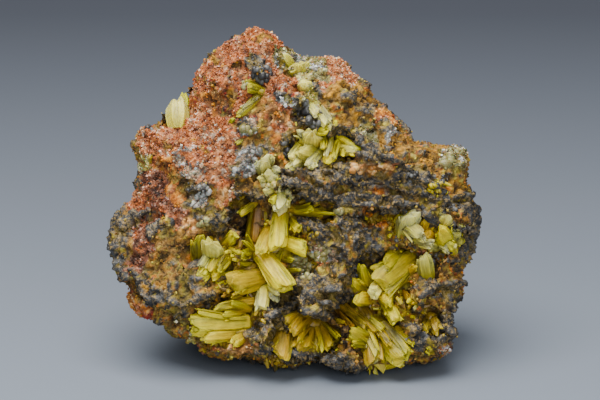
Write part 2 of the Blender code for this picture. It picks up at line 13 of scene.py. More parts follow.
import bmesh
import bpy
import numpy as np
from mathutils import Matrix, Vector, noise
from mathutils.bvhtree import BVHTree

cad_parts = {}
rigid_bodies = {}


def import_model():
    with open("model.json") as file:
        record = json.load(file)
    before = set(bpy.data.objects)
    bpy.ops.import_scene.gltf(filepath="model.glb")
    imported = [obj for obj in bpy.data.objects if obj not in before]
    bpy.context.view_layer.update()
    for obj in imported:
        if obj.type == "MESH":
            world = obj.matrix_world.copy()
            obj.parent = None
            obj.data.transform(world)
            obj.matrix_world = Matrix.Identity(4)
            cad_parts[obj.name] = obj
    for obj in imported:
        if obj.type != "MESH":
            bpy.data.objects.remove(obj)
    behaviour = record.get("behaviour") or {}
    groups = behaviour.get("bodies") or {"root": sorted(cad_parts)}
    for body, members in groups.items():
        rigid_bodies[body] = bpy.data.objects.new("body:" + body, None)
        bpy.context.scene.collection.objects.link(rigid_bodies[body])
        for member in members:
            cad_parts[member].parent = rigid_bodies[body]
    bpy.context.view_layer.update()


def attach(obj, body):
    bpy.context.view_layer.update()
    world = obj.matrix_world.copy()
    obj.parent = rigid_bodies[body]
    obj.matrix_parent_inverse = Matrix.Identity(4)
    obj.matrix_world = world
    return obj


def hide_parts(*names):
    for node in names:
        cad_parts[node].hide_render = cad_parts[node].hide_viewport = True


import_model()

# Dimensions in millimetres and degrees, as in the solid model
MM = 0.001
SIGHT_ELEVATION = math.radians(15.0)
SIGHT_DISTANCE = 642.0
SIGHT_AIM = (1.9, 31.9)
BLOCK_CENTRE = (0.0, 29.7)
DEPTH_IN_FRONT = 24.0
DEPTH_BEHIND = 17.0
BLOCK_ROUNDNESS = 2.6
LUMP_HEIGHT = 1.5
LUMP_SIZE = 9.0
PIT_HEIGHT = 0.8
PIT_SIZE = 3.2
SKIN_VOXEL = 0.51
SKIN_INSET = 0.45
ROOM_LIMIT = 7.0

# How much the stored tones are deepened, and how light the rock is
ROCK_DEPTH = 1.3
ROCK_LIGHT = 0.90
CRYSTAL_DEPTH = 1.5

# The rock's edge as seen from the front, anticlockwise from the peak: across, up
OUTLINE = [
    (-7.5, 69.5), (-11.5, 67), (-16.5, 64), (-20, 59), (-21, 55.5), (-22, 52), (-26, 49),
    (-32.5, 47.5), (-34.5, 43.5), (-32.5, 39.5), (-32.5, 36), (-34.5, 31), (-37.5, 28.5), (-39, 26),
    (-40, 21.5), (-38, 15), (-35.5, 12.5), (-36, 11), (-34, 8), (-32.5, 7), (-28.5, 6.5), (-27, 4),
    (-24, 2), (-20.5, 1), (-18, -1.5), (-10, -2), (6, -2.5), (15, -4), (22, -3), (31, -2), (34, 0),
    (34.5, 7.5), (36, 8.5), (35, 9.5), (36.5, 11.5), (36.5, 17), (39, 21.5), (40, 26), (39.5, 31.5),
    (37.5, 35.5), (38.5, 40.5), (37, 42.5), (34.5, 43.5), (26, 44.5), (21, 50.5), (18, 53.5),
    (16, 57), (11, 61.5), (8, 62.5), (3, 62.5), (-1, 64), (-4, 67.5),
]

# How far back the edge lies at each height: up, away from the viewer
EDGE_DEPTH = [
    (-6, -16.5), (20, -3), (69, -8),
]

# Hollows in the front: path across and up, half width, depth
HOLLOWS = [
    ([(-10.5, 29.7), (-8.3, 24.2)], 2.6, 9), ([(0.2, 29.1), (7.5, 29.3)], 1.7, 4),
    ([(-3.2, 23.8), (1.9, 18.6)], 4.1, 6.5), ([(-9.6, 15.6), (-1.5, 10.9)], 3.4, 7.5),
    ([(-16.3, 7.9), (-8.3, 5.8)], 2.8, 6), ([(-14.1, 10.5), (-9.2, 10.1)], 1.7, 8),
    ([(1.1, 5.8), (8.3, 1.5)], 3.2, 8.5), ([(12.6, 8.8), (19.9, 4.9)], 3.6, 8.5),
    ([(16.1, 16.5), (23.8, 18.6)], 3, 5.5), ([(24.2, 13.1), (24.6, 7.1)], 2.1, 5),
    ([(7.3, 28.5), (22.9, 28), (31.9, 26.3)], 1, 5), ([(1.9, 42.6), (10.1, 42.8)], 3, 5),
    ([(22.9, 25.5), (34, 23.3)], 2.6, 3.5), ([(-18.2, 20.8), (-13.9, 18.2)], 3, 4.5),
    ([(-30.6, 28.9), (-28.9, 29.1)], 0.9, 3), ([(1.5, 50.7), (1.9, 49.9)], 0.9, 3.5),
    ([(29.3, 7.5), (31, 4.1)], 1.7, 3.5), ([(-0.2, -3.6), (8.3, -4.9)], 1.1, 2.5),
    ([(19.6, 3), (20.6, -5)], 4.2, 4.5), ([(-1.6, 3.5), (-2.8, -2.5)], 2.3, 4.5),
    ([(-12, 3.4), (-18.5, 2.2)], 2.4, 4),
]

# Ridges and ledges on the front: path across and up, half width, height
RIDGES = [
    ([(-1.9, 34), (4.5, 34.9), (11.8, 37.9), (20.3, 40.9)], 2.4, 3),
    ([(12.2, 47.3), (16.1, 43.4), (20.3, 40.9)], 1.5, 2),
    ([(8.3, 30.8), (22.5, 30.6), (35.7, 28.5)], 1.5, 2.6),
    ([(10.5, 28.9), (11.8, 19.5), (9.6, 13.1), (2.4, 7.1), (-5.3, 1.5)], 2.6, 4),
    ([(-30.2, 18.6), (-23.3, 11.3)], 6.4, 2.2), ([(-7.5, 60.6), (-6.6, 59.7)], 1.9, 2.2),
    ([(2.6, 53.3), (4.3, 52.4)], 1.5, 2.2), ([(1.9, -2.4), (16.5, -3.2)], 1.7, 1.8),
    ([(28.5, 11.3), (32.7, 1.9)], 3.2, 2.2), ([(-38.3, 27.2), (-37, 22)], 2.6, 1.6),
    ([(-16.1, 57.1), (-13.5, 61.8), (-9.2, 65.3)], 3.4, 2),
    ([(14.8, 53.7), (19.9, 48.6)], 3.4, 1.6),
]

# Bulges of the underside and the back, where the rock stands: centre, then half size
LUMPS = [
    ((0, 7, 10), (26, 20, 14)), ((18, -3, 7), (12, 11, 9)), ((-19, 16, 31), (15, 11, 16)),
    ((17, 17, 31), (13.5, 10, 11.5)), ((-4, 19, 45), (15, 9, 12)),
]

# Flat breaks on the back and the sides: outward direction and distance from the centre
BREAKS = [
    ((-0.55, 0.8, 0.25), 23), ((0.3, 0.93, -0.2), 20), ((0.75, 0.6, 0.28), 30),
    ((-0.15, 0.75, 0.65), 27), ((-0.85, 0.35, -0.4), 32),
]
BREAK_CENTRE = (0.0, 6.0, 33.0)

# Crystal groups: the tone of the ground mass that joins the group, then its place as across, up,
# lift and its three half sizes. Then the crystals that the solid has too, and those that only the
# scene has: root and tip as across, up, lift, half width at the root and at the tip, thickness as
# a share of the width, and tone.
GROUPS = {
    "central_vug_crystals": ("lemon", (-4.5, 22, -8, 5.4, 11, 3), [
        (-2.1, 30.6, -5, -3, 21.8, -0.3, 1.7, 2.1, 0.9, "butter"),
        (-7.7, 21.8, -5, -0.9, 13.1, 1.3, 1.8, 2.4, 0.7, "lemon"),
        (-4.1, 25.6, -5, -6.6, 20.6, -0.5, 2.1, 1.6, 0.7, "straw"),
        (-2.6, 23.8, -6, 3.1, 21.4, 0.2, 1.4, 1.8, 0.8, "butter"),
        (0.2, 27.8, -4.5, 1.6, 25.6, 0, 1, 1.2, 0.9, "lemon"),
        (-7.9, 20.6, -5.5, -10.8, 20.1, -0.6, 1, 1.1, 0.7, "lemon"),
        (-1.5, 22.5, -7, -3, 18.6, -3, 0.6, 0.6, 1, "lemon"),
        (-6.8, 31.5, -6, -7.5, 22.9, -5.5, 1.1, 1.3, 0.6, "amber"),
        (-7.1, 31.9, -5, -11.1, 28.9, -3, 0.7, 0.9, 0.8, "straw"),
        (-0.6, 30.2, -6, 7.1, 29.1, -2.5, 1.1, 0.9, 0.8, "straw"),
        (-3.4, 16.1, -6, -12.8, 13.9, -0.5, 1.9, 2.8, 0.6, "gold"),
        (-4.5, 18.6, -6, -12.2, 15.4, -2, 0.9, 1.1, 0.7, "honey"),
        (-5.8, 14.8, -6, -6.4, 8.4, -1.5, 1.3, 1.5, 0.8, "cream"),
        (-4.1, 14.8, -6, -3.6, 10.5, -2, 1.1, 1.1, 1, "frost"),
    ], [
        (-7.5, 20.8, -4, -10.4, 23.3, -0.5, 0.5, 0.35, 0.8, "lemon"),
        (-8, 21.4, -4, -9.6, 24.6, -0.8, 0.4, 0.3, 0.8, "lemon"),
        (-10.9, 14.8, -5, -16.4, 12.1, -0.6, 0.7, 0.6, 0.7, "amber"),
        (-10, 13.7, -5, -14.8, 11.1, -0.6, 0.6, 0.5, 0.7, "amber"),
        (-11.6, 15.4, -5, -15.8, 13.4, -0.8, 0.6, 0.5, 0.7, "straw"),
        (-9, 12.8, -5, -12.6, 10.9, -0.9, 0.6, 0.5, 0.7, "honey"),
        (-2, 19.4, -5, 0.6, 19, -0.6, 0.7, 0.5, 0.8, "lemon"),
        (-1, 16.8, -4, 2.1, 17, -0.2, 0.5, 0.35, 0.8, "lemon"),
        (-7.6, 18, -6, -11.4, 18.4, -1.4, 0.8, 0.7, 0.7, "olive"),
        (1, 29.6, -4, 4.6, 30.2, 0, 1, 0.9, 0.8, "lemon"),
        (3, 29, -3.5, 9.4, 28.9, 0.3, 0.4, 0.35, 0.8, "lemon"),
        (-4.8, 13.6, -4, -2.6, 12, 0.2, 0.9, 0.9, 0.8, "frost"),
    ]),
    "frosted_crystals": ("frost", (-4.5, 35.8, -4, 2.4, 3.6, 1.8), [
        (-5.3, 36.6, -4.5, -6.2, 40.4, 0.3, 1.7, 2.1, 0.8, "frost"),
        (-4.1, 35.2, -4.5, -4.1, 37.4, 0.3, 1.7, 1.9, 0.9, "frost"),
        (-2.1, 35.4, -4, -1.9, 29.8, 0.7, 1.7, 2, 0.9, "frost"),
    ], [
        (-5.6, 38.6, -2, -7.6, 39.6, 0.6, 0.8, 0.9, 0.8, "frost"),
        (-5.2, 38.8, -2, -4, 41, 0.8, 0.8, 0.9, 0.8, "cream"),
        (-5, 37.6, -2, -2.8, 38.6, 0.8, 0.8, 0.9, 0.8, "frost"),
        (-4.8, 36.6, -2, -6.8, 36.2, 0.8, 0.8, 0.9, 0.8, "cream"),
        (-4, 35.2, -2, -2, 36, 0.9, 0.8, 0.9, 0.8, "butter"),
        (-3.8, 34.2, -2, -5.6, 33.6, 0.9, 0.7, 0.8, 0.8, "frost"),
        (-2.6, 33, -2, -4.2, 31.4, 0.9, 0.8, 0.9, 0.8, "butter"),
        (-2, 32.6, -2, -0.4, 31.2, 0.9, 0.8, 0.8, 0.8, "cream"),
    ]),
    "left_vug_crystals": ("straw", (-16.1, 19.9, -5, 3.7, 3.2, 2.4), [
        (-20.1, 17.5, -4, -19.7, 24.2, 0, 1.4, 1.5, 0.6, "olive"),
        (-16.5, 17.8, -4.5, -16.9, 22.5, 0.9, 2.1, 2.4, 0.7, "green"),
        (-14.8, 20.8, -5, -19.5, 15, 0.7, 2.2, 1.6, 0.7, "lemon"),
        (-13.9, 19.5, -5, -16.9, 15.4, -0.3, 1.5, 1.2, 0.8, "straw"),
        (-14.8, 21.6, -5, -12.2, 24.4, 0, 1.2, 1.4, 0.8, "straw"),
        (-13.8, 19.4, -6, -14.4, 15.8, -1.6, 1, 1.1, 0.7, "olive"),
    ], [
        (-13.6, 21.6, -3, -17.6, 16.8, 0.6, 1, 1.1, 0.8, "straw"),
        (-15.6, 22.6, -3, -19.4, 17.6, 0.5, 0.8, 0.9, 0.8, "green"),
        (-16.2, 20.6, -3, -18.8, 15.8, 0.9, 0.7, 0.7, 0.8, "butter"),
        (-13, 19.6, -3, -15.4, 16.6, 0.5, 0.8, 0.8, 0.8, "lemon"),
        (-14, 23.2, -3, -11.6, 24.4, 0.5, 0.7, 0.8, 0.8, "lemon"),
        (-13.4, 22, -3, -10.8, 20.6, 0.3, 0.6, 0.7, 0.8, "straw"),
    ]),
    "lower_left_crystals": ("straw", (-11.4, 5.4, -6, 3, 2.4, 2.4), [
        (-9, 5.6, -5, -21, 5.1, 0.5, 2, 2.6, 0.7, "lemon"),
        (-10, 7.8, -5.5, -14.5, 7.3, -1, 1.2, 1.1, 0.7, "straw"),
        (-8, 10.3, -4.5, -16.5, 8.7, -0.2, 1.3, 0.9, 0.7, "straw"),
        (-9.9, 3.6, -5, -18.4, 2.6, 0.8, 1.3, 1.5, 0.7, "straw"),
        (-9.9, 3, -5, -12.4, 1.2, -0.5, 1.3, 1.3, 0.8, "straw"),
    ], [
        (-11, 7, -4.5, -21.6, 6.9, 0.2, 0.9, 0.8, 0.7, "lemon"),
        (-10, 5.4, -4, -21.8, 5.9, 1.5, 0.6, 0.7, 0.8, "butter"),
        (-10, 4.7, -4, -21.2, 4.2, 1.4, 0.6, 0.7, 0.8, "straw"),
        (-9.6, 6.3, -4, -20.2, 7.9, 1, 0.5, 0.6, 0.8, "lemon"),
        (-9.6, 4, -4, -19.6, 2.2, 1.2, 0.5, 0.6, 0.8, "straw"),
        (-11, 4.4, -4.5, -20.9, 3.4, 0.3, 0.8, 0.7, 0.7, "straw"),
        (-8.6, 8.6, -5, -12.8, 10, -0.8, 1, 0.8, 0.7, "straw"),
    ]),
    "lower_vug_crystals": ("honey", (3.2, 5.3, -8, 4.8, 2.4, 2.6), [
        (-1.1, 4.5, -5.5, -2.4, -1.4, 0.8, 1.9, 2.3, 0.5, "honey"),
        (4.1, 7.5, -6.5, 0.2, 3.6, -2, 1.9, 1.7, 0.8, "honey"),
        (2.8, 7.5, -6.5, -1.3, 5.8, -3, 1.5, 1.3, 0.8, "honey"),
        (4.5, 5.3, -7, 2.8, 0, -2, 1.3, 1.7, 0.8, "honey"),
        (5.8, 5.3, -7, 5.3, -0.2, -3, 1.1, 1.2, 0.8, "gold"),
        (6.4, 5.8, -7, 8.4, 0.4, -2, 1, 1.3, 0.7, "honey"),
        (1.5, 3.6, -7, 0.6, 0.4, -2.5, 1.1, 1.2, 0.8, "honey"),
    ], [
        (5.4, 4.6, -6, 6.8, -0.6, -0.6, 0.7, 0.6, 0.8, "straw"),
        (4, 4.8, -6, 1.6, 1.4, -0.6, 0.8, 0.7, 0.8, "honey"),
        (2.2, 7, -5, 4.4, 8.4, -0.8, 0.8, 0.7, 0.8, "honey"),
        (6.8, 6, -6.5, 10, 2.4, -1.2, 0.6, 0.6, 0.8, "straw"),
        (7, 6.6, -6.5, 11.4, 5.6, -1.6, 0.5, 0.5, 0.8, "honey"),
    ]),
    "right_vug_crystals": ("olive", (20.8, 15.6, -6.5, 5.4, 2.8, 2.4), [
        (27.8, 20.4, -5, 18.9, 13.9, 0, 1.6, 3, 0.5, "olive"),
        (25.5, 20.8, -5.5, 20.4, 18.2, -0.4, 1.6, 2.1, 0.6, "olive"),
        (17.1, 12.2, -6, 15, 18, -0.6, 1.4, 1, 0.7, "lemon"),
        (16.9, 11.5, -5.5, 13.1, 14.3, -0.5, 1.6, 1.2, 0.7, "straw"),
        (17.1, 10.5, -5, 14.2, 10.8, 0, 1.4, 1.6, 0.8, "straw"),
        (19, 13.5, -6.5, 17.5, 11.8, 1.5, 1.5, 1.7, 0.9, "cream"),
        (18.6, 12.2, -5.5, 22.5, 5.9, 0.3, 1.1, 1.5, 0.8, "lemon"),
        (21.6, 14.8, -6, 20.1, 9.8, -0.4, 1.5, 1.7, 0.8, "straw"),
        (29.1, 14.1, -4.5, 28.2, 19.9, 0.3, 1.8, 1.9, 0.7, "green"),
    ], [
        (26.2, 20.4, -4, 17.4, 16.9, -0.6, 0.9, 1.1, 0.7, "olive"),
        (27, 19, -4, 20.4, 11.8, -0.3, 0.9, 1.2, 0.7, "olive"),
        (24, 12.4, -4.5, 26.4, 9.6, -0.4, 0.6, 0.6, 0.8, "peach"),
        (28.4, 12, -4, 24.8, 10.2, -0.2, 0.7, 0.6, 0.8, "straw"),
        (29.6, 12.6, -4, 26.2, 8.4, 0, 0.6, 0.5, 0.8, "green"),
        (24.6, 15.8, -4, 26.6, 17.8, -0.2, 0.7, 0.7, 0.8, "peach"),
    ]),
    "right_ledge_crystals": ("cream", (29.3, 23.9, -4.5, 6.2, 1.6, 1.8), [
        (24, 23.6, -4, 25.3, 28.9, 0.5, 2.2, 2.5, 0.7, "frost"),
        (31.5, 25.3, -3.5, 33.2, 28.5, 1.5, 1.7, 1.9, 0.7, "cream"),
        (34.5, 19.9, -4, 31.7, 25.3, 1, 2.2, 2.2, 0.8, "butter"),
        (30.6, 23, -4, 28.9, 24.8, 0, 1.3, 1.6, 0.8, "peach"),
        (33.8, 23, -4, 35.3, 25, 0, 1.1, 1.3, 0.8, "green"),
    ], [
        (28.2, 23.8, -3, 29.4, 28.2, 0.8, 1.3, 1.5, 0.7, "peach"),
        (24, 23.4, -3, 30.4, 22.6, 0.9, 0.9, 0.9, 0.7, "cream"),
        (31.4, 28, -3, 36.2, 25.8, 1, 1.2, 1.3, 0.7, "green"),
        (34.6, 25.4, -3, 36.6, 22.6, 0.8, 0.8, 0.9, 0.7, "olive"),
        (22.6, 28.2, -3, 27.6, 24.4, 1, 1.4, 1.6, 0.8, "cream"),
        (30, 25.6, -3, 34.6, 22, 1.3, 0.9, 1.2, 0.8, "butter"),
        (30.4, 23.4, -3, 33.8, 21.2, 1.3, 0.8, 1, 0.8, "cream"),
        (25.6, 25.8, -3, 28.6, 23.4, 1, 0.8, 0.9, 0.8, "cream"),
        (32, 21.6, -3, 29.6, 22, 0.6, 0.8, 0.9, 0.8, "cream"),
        (33.6, 21.4, -3, 34.8, 22.4, 1.4, 0.9, 1, 0.9, "cream"),
        (28.4, 26, -3, 30.2, 26.4, 0.6, 0.9, 0.8, 0.8, "peach"),
    ]),
    "base_crystals": ("straw", (17.3, 4.4, -8, 4.4, 2.8, 2.6), [
        (15.8, 5.8, -7, 19.6, -4.4, 1.4, 2.6, 3.2, 0.6, "straw"),
        (18.5, 5, -6, 24, -1.8, 1, 2.4, 3, 0.6, "olive"),
        (17, 4.2, -5.5, 17.6, -2.6, 0.6, 1.6, 2, 0.7, "honey"),
        (18.2, 0.4, -4.5, 12.6, 3.6, -0.6, 2, 1.6, 0.6, "olive"),
        (21.5, 3.5, -5, 25.2, -1.2, 0.3, 1.4, 1.6, 0.7, "straw"),
        (10.5, 9.2, -7, 15.8, 4.9, -2.5, 0.7, 0.9, 0.8, "honey"),
        (13.1, 9.2, -7, 19.7, 4.2, -1.5, 0.8, 1, 0.8, "olive"),
    ], [
        (13.6, 10.8, -6, 21, 1, -0.8, 0.8, 0.9, 0.8, "honey"),
        (14.2, 8.8, -6, 18.4, -1.4, -0.2, 0.9, 1.1, 0.8, "straw"),
        (15, 5, -4, 17.6, -3, 0.4, 1.1, 1.3, 0.8, "cream"),
        (19.6, 5.6, -4, 24.8, -0.8, 0.4, 1, 1.2, 0.8, "olive"),
        (11.6, 9.6, -6.5, 18.4, 3.6, -1.6, 0.5, 0.6, 0.8, "honey"),
        (9.6, 8.6, -6.5, 13.4, 4.6, -2, 0.5, 0.6, 0.8, "amber"),
        (17, 1, -4, 13.2, 1.2, -0.4, 0.9, 0.8, 0.7, "olive"),
        (22.4, 4.6, -5, 26.2, 1, 0.2, 0.9, 0.8, 0.7, "straw"),
    ]),
    "corner_crystals": ("honey", (29.7, 6.6, -3, 1.3, 1.3, 1.2), [
        (29.3, 7.5, -3.5, 31.5, 3.9, 0, 1.1, 1.3, 0.8, "honey"),
        (29.7, 7.1, -3.5, 28.5, 4.1, -0.5, 0.9, 1.1, 0.8, "honey"),
    ], []),
    "upper_pocket_crystals": ("cream", (5.8, 42.8, -5.5, 4.5, 1.9, 2.2), [
        (4.5, 43, -5, 4.5, 46.4, 0.8, 2.3, 2.7, 0.6, "cream"),
        (6.2, 42.2, -5.5, 2, 42.6, 0.2, 1.9, 2.3, 0.8, "green"),
        (7.9, 43.4, -5.5, 8.3, 39.8, 0.6, 1.6, 1.8, 0.8, "butter"),
        (8.8, 43.2, -5.5, 13.6, 42.6, 0.5, 1.6, 1.3, 0.7, "cream"),
        (2.6, 42, -5, 0.2, 39.8, 0.8, 1.6, 1.8, 0.8, "frost"),
    ], [
        (9.8, 45.6, -4, 14.6, 42.4, 0.5, 0.8, 0.9, 0.8, "butter"),
        (2, 46.6, -4, 7.6, 46.8, 0.9, 0.9, 1, 0.8, "butter"),
        (9, 46.4, -4, 7.4, 41.2, 0.9, 0.5, 0.6, 0.8, "cream"),
        (1.6, 41.4, -4, 5.2, 38.9, 0.9, 1.2, 1.2, 0.8, "cream"),
        (10.4, 45.6, -4, 9.2, 40.8, 0.9, 0.5, 0.6, 0.8, "butter"),
        (2.4, 44, -4, 0, 40.8, 0.8, 1.1, 1.1, 0.8, "cream"),
        (6.6, 42.6, -4, 3.4, 39.2, 0.9, 0.9, 1, 0.8, "frost"),
        (7.4, 46.6, -4, 6.8, 42.8, 0.7, 0.6, 0.6, 0.8, "lemon"),
        (12, 44.4, -4, 13.2, 41.2, 0.6, 0.6, 0.6, 0.8, "straw"),
        (3.4, 40.6, -4, -0.6, 38.4, 0.8, 1.2, 1.2, 0.8, "cream"),
        (9.6, 44.6, -4, 9.2, 40.6, 0.8, 0.5, 0.5, 0.8, "cream"),
        (11.2, 44, -4, 11, 41.2, 0.6, 0.5, 0.5, 0.8, "lemon"),
        (5, 44, -4, 1.4, 46.4, 0.6, 1, 0.9, 0.8, "frost"),
    ]),
    "crest_blades": ("cream", (3, 55, -2, 1.3, 1.3, 1.5), [
        (3, 54.6, -3, 3, 56.9, 1.1, 1.5, 1.8, 0.8, "cream"),
        (3.4, 54.4, -2.5, 7.9, 48.2, 1.4, 1.1, 1.5, 0.7, "cream"),
    ], [
        (3.2, 52.8, -2, 5.4, 50.4, 1.4, 0.9, 1.1, 0.8, "frost"),
        (5.4, 50.6, -2, 8.6, 47.4, 1.2, 0.7, 0.9, 0.8, "cream"),
    ]),
    "summit_crystals": ("green", (0.6, 59.6, -3, 1.7, 1.4, 1.5), [
        (0.2, 60, -3.5, -1.7, 63.1, 0, 1.1, 1.1, 0.8, "green"),
        (1.1, 58.6, -3.5, 1.1, 60.6, 0.8, 1.6, 1.8, 0.8, "green"),
        (1.9, 59.5, -3.5, 3.6, 61.4, 0, 1.3, 1.5, 0.8, "green"),
    ], []),
    "crust_blades": ("olive", (-6.2, 55, -1.5, 1.1, 0.9, 1.2), [
        (-5.8, 55, -2, -9.2, 55.9, 0.6, 0.9, 1.1, 0.7, "olive"),
        (-5.8, 55.2, -2, -11.3, 49.9, 0.5, 0.7, 0.9, 0.7, "olive"),
    ], [
        (-6.8, 46.6, -2, -11.8, 43.8, 0.5, 0.4, 0.4, 0.8, "olive"),
        (-13.2, 47.6, -2, -12.4, 49.4, 0.6, 0.7, 0.6, 0.8, "lime_green"),
        (-6, 54.4, -2, -10.6, 51.6, 0.5, 0.4, 0.5, 0.8, "green"),
        (-7, 56.4, -1.5, -9.8, 57.4, 0.5, 0.5, 0.4, 0.8, "olive"),
    ]),
    "shoulder_crystals": ("frost", (-24.2, 47.7, -2.5, 1.7, 1.3, 1.6), [
        (-24.4, 46.9, -2.5, -24.4, 53.1, 6.5, 2.4, 2.7, 0.9, "frost"),
        (-22.9, 48.6, -2.5, -22.9, 54.8, 2.5, 1.3, 1.3, 0.9, "lime_green"),
    ], []),
}

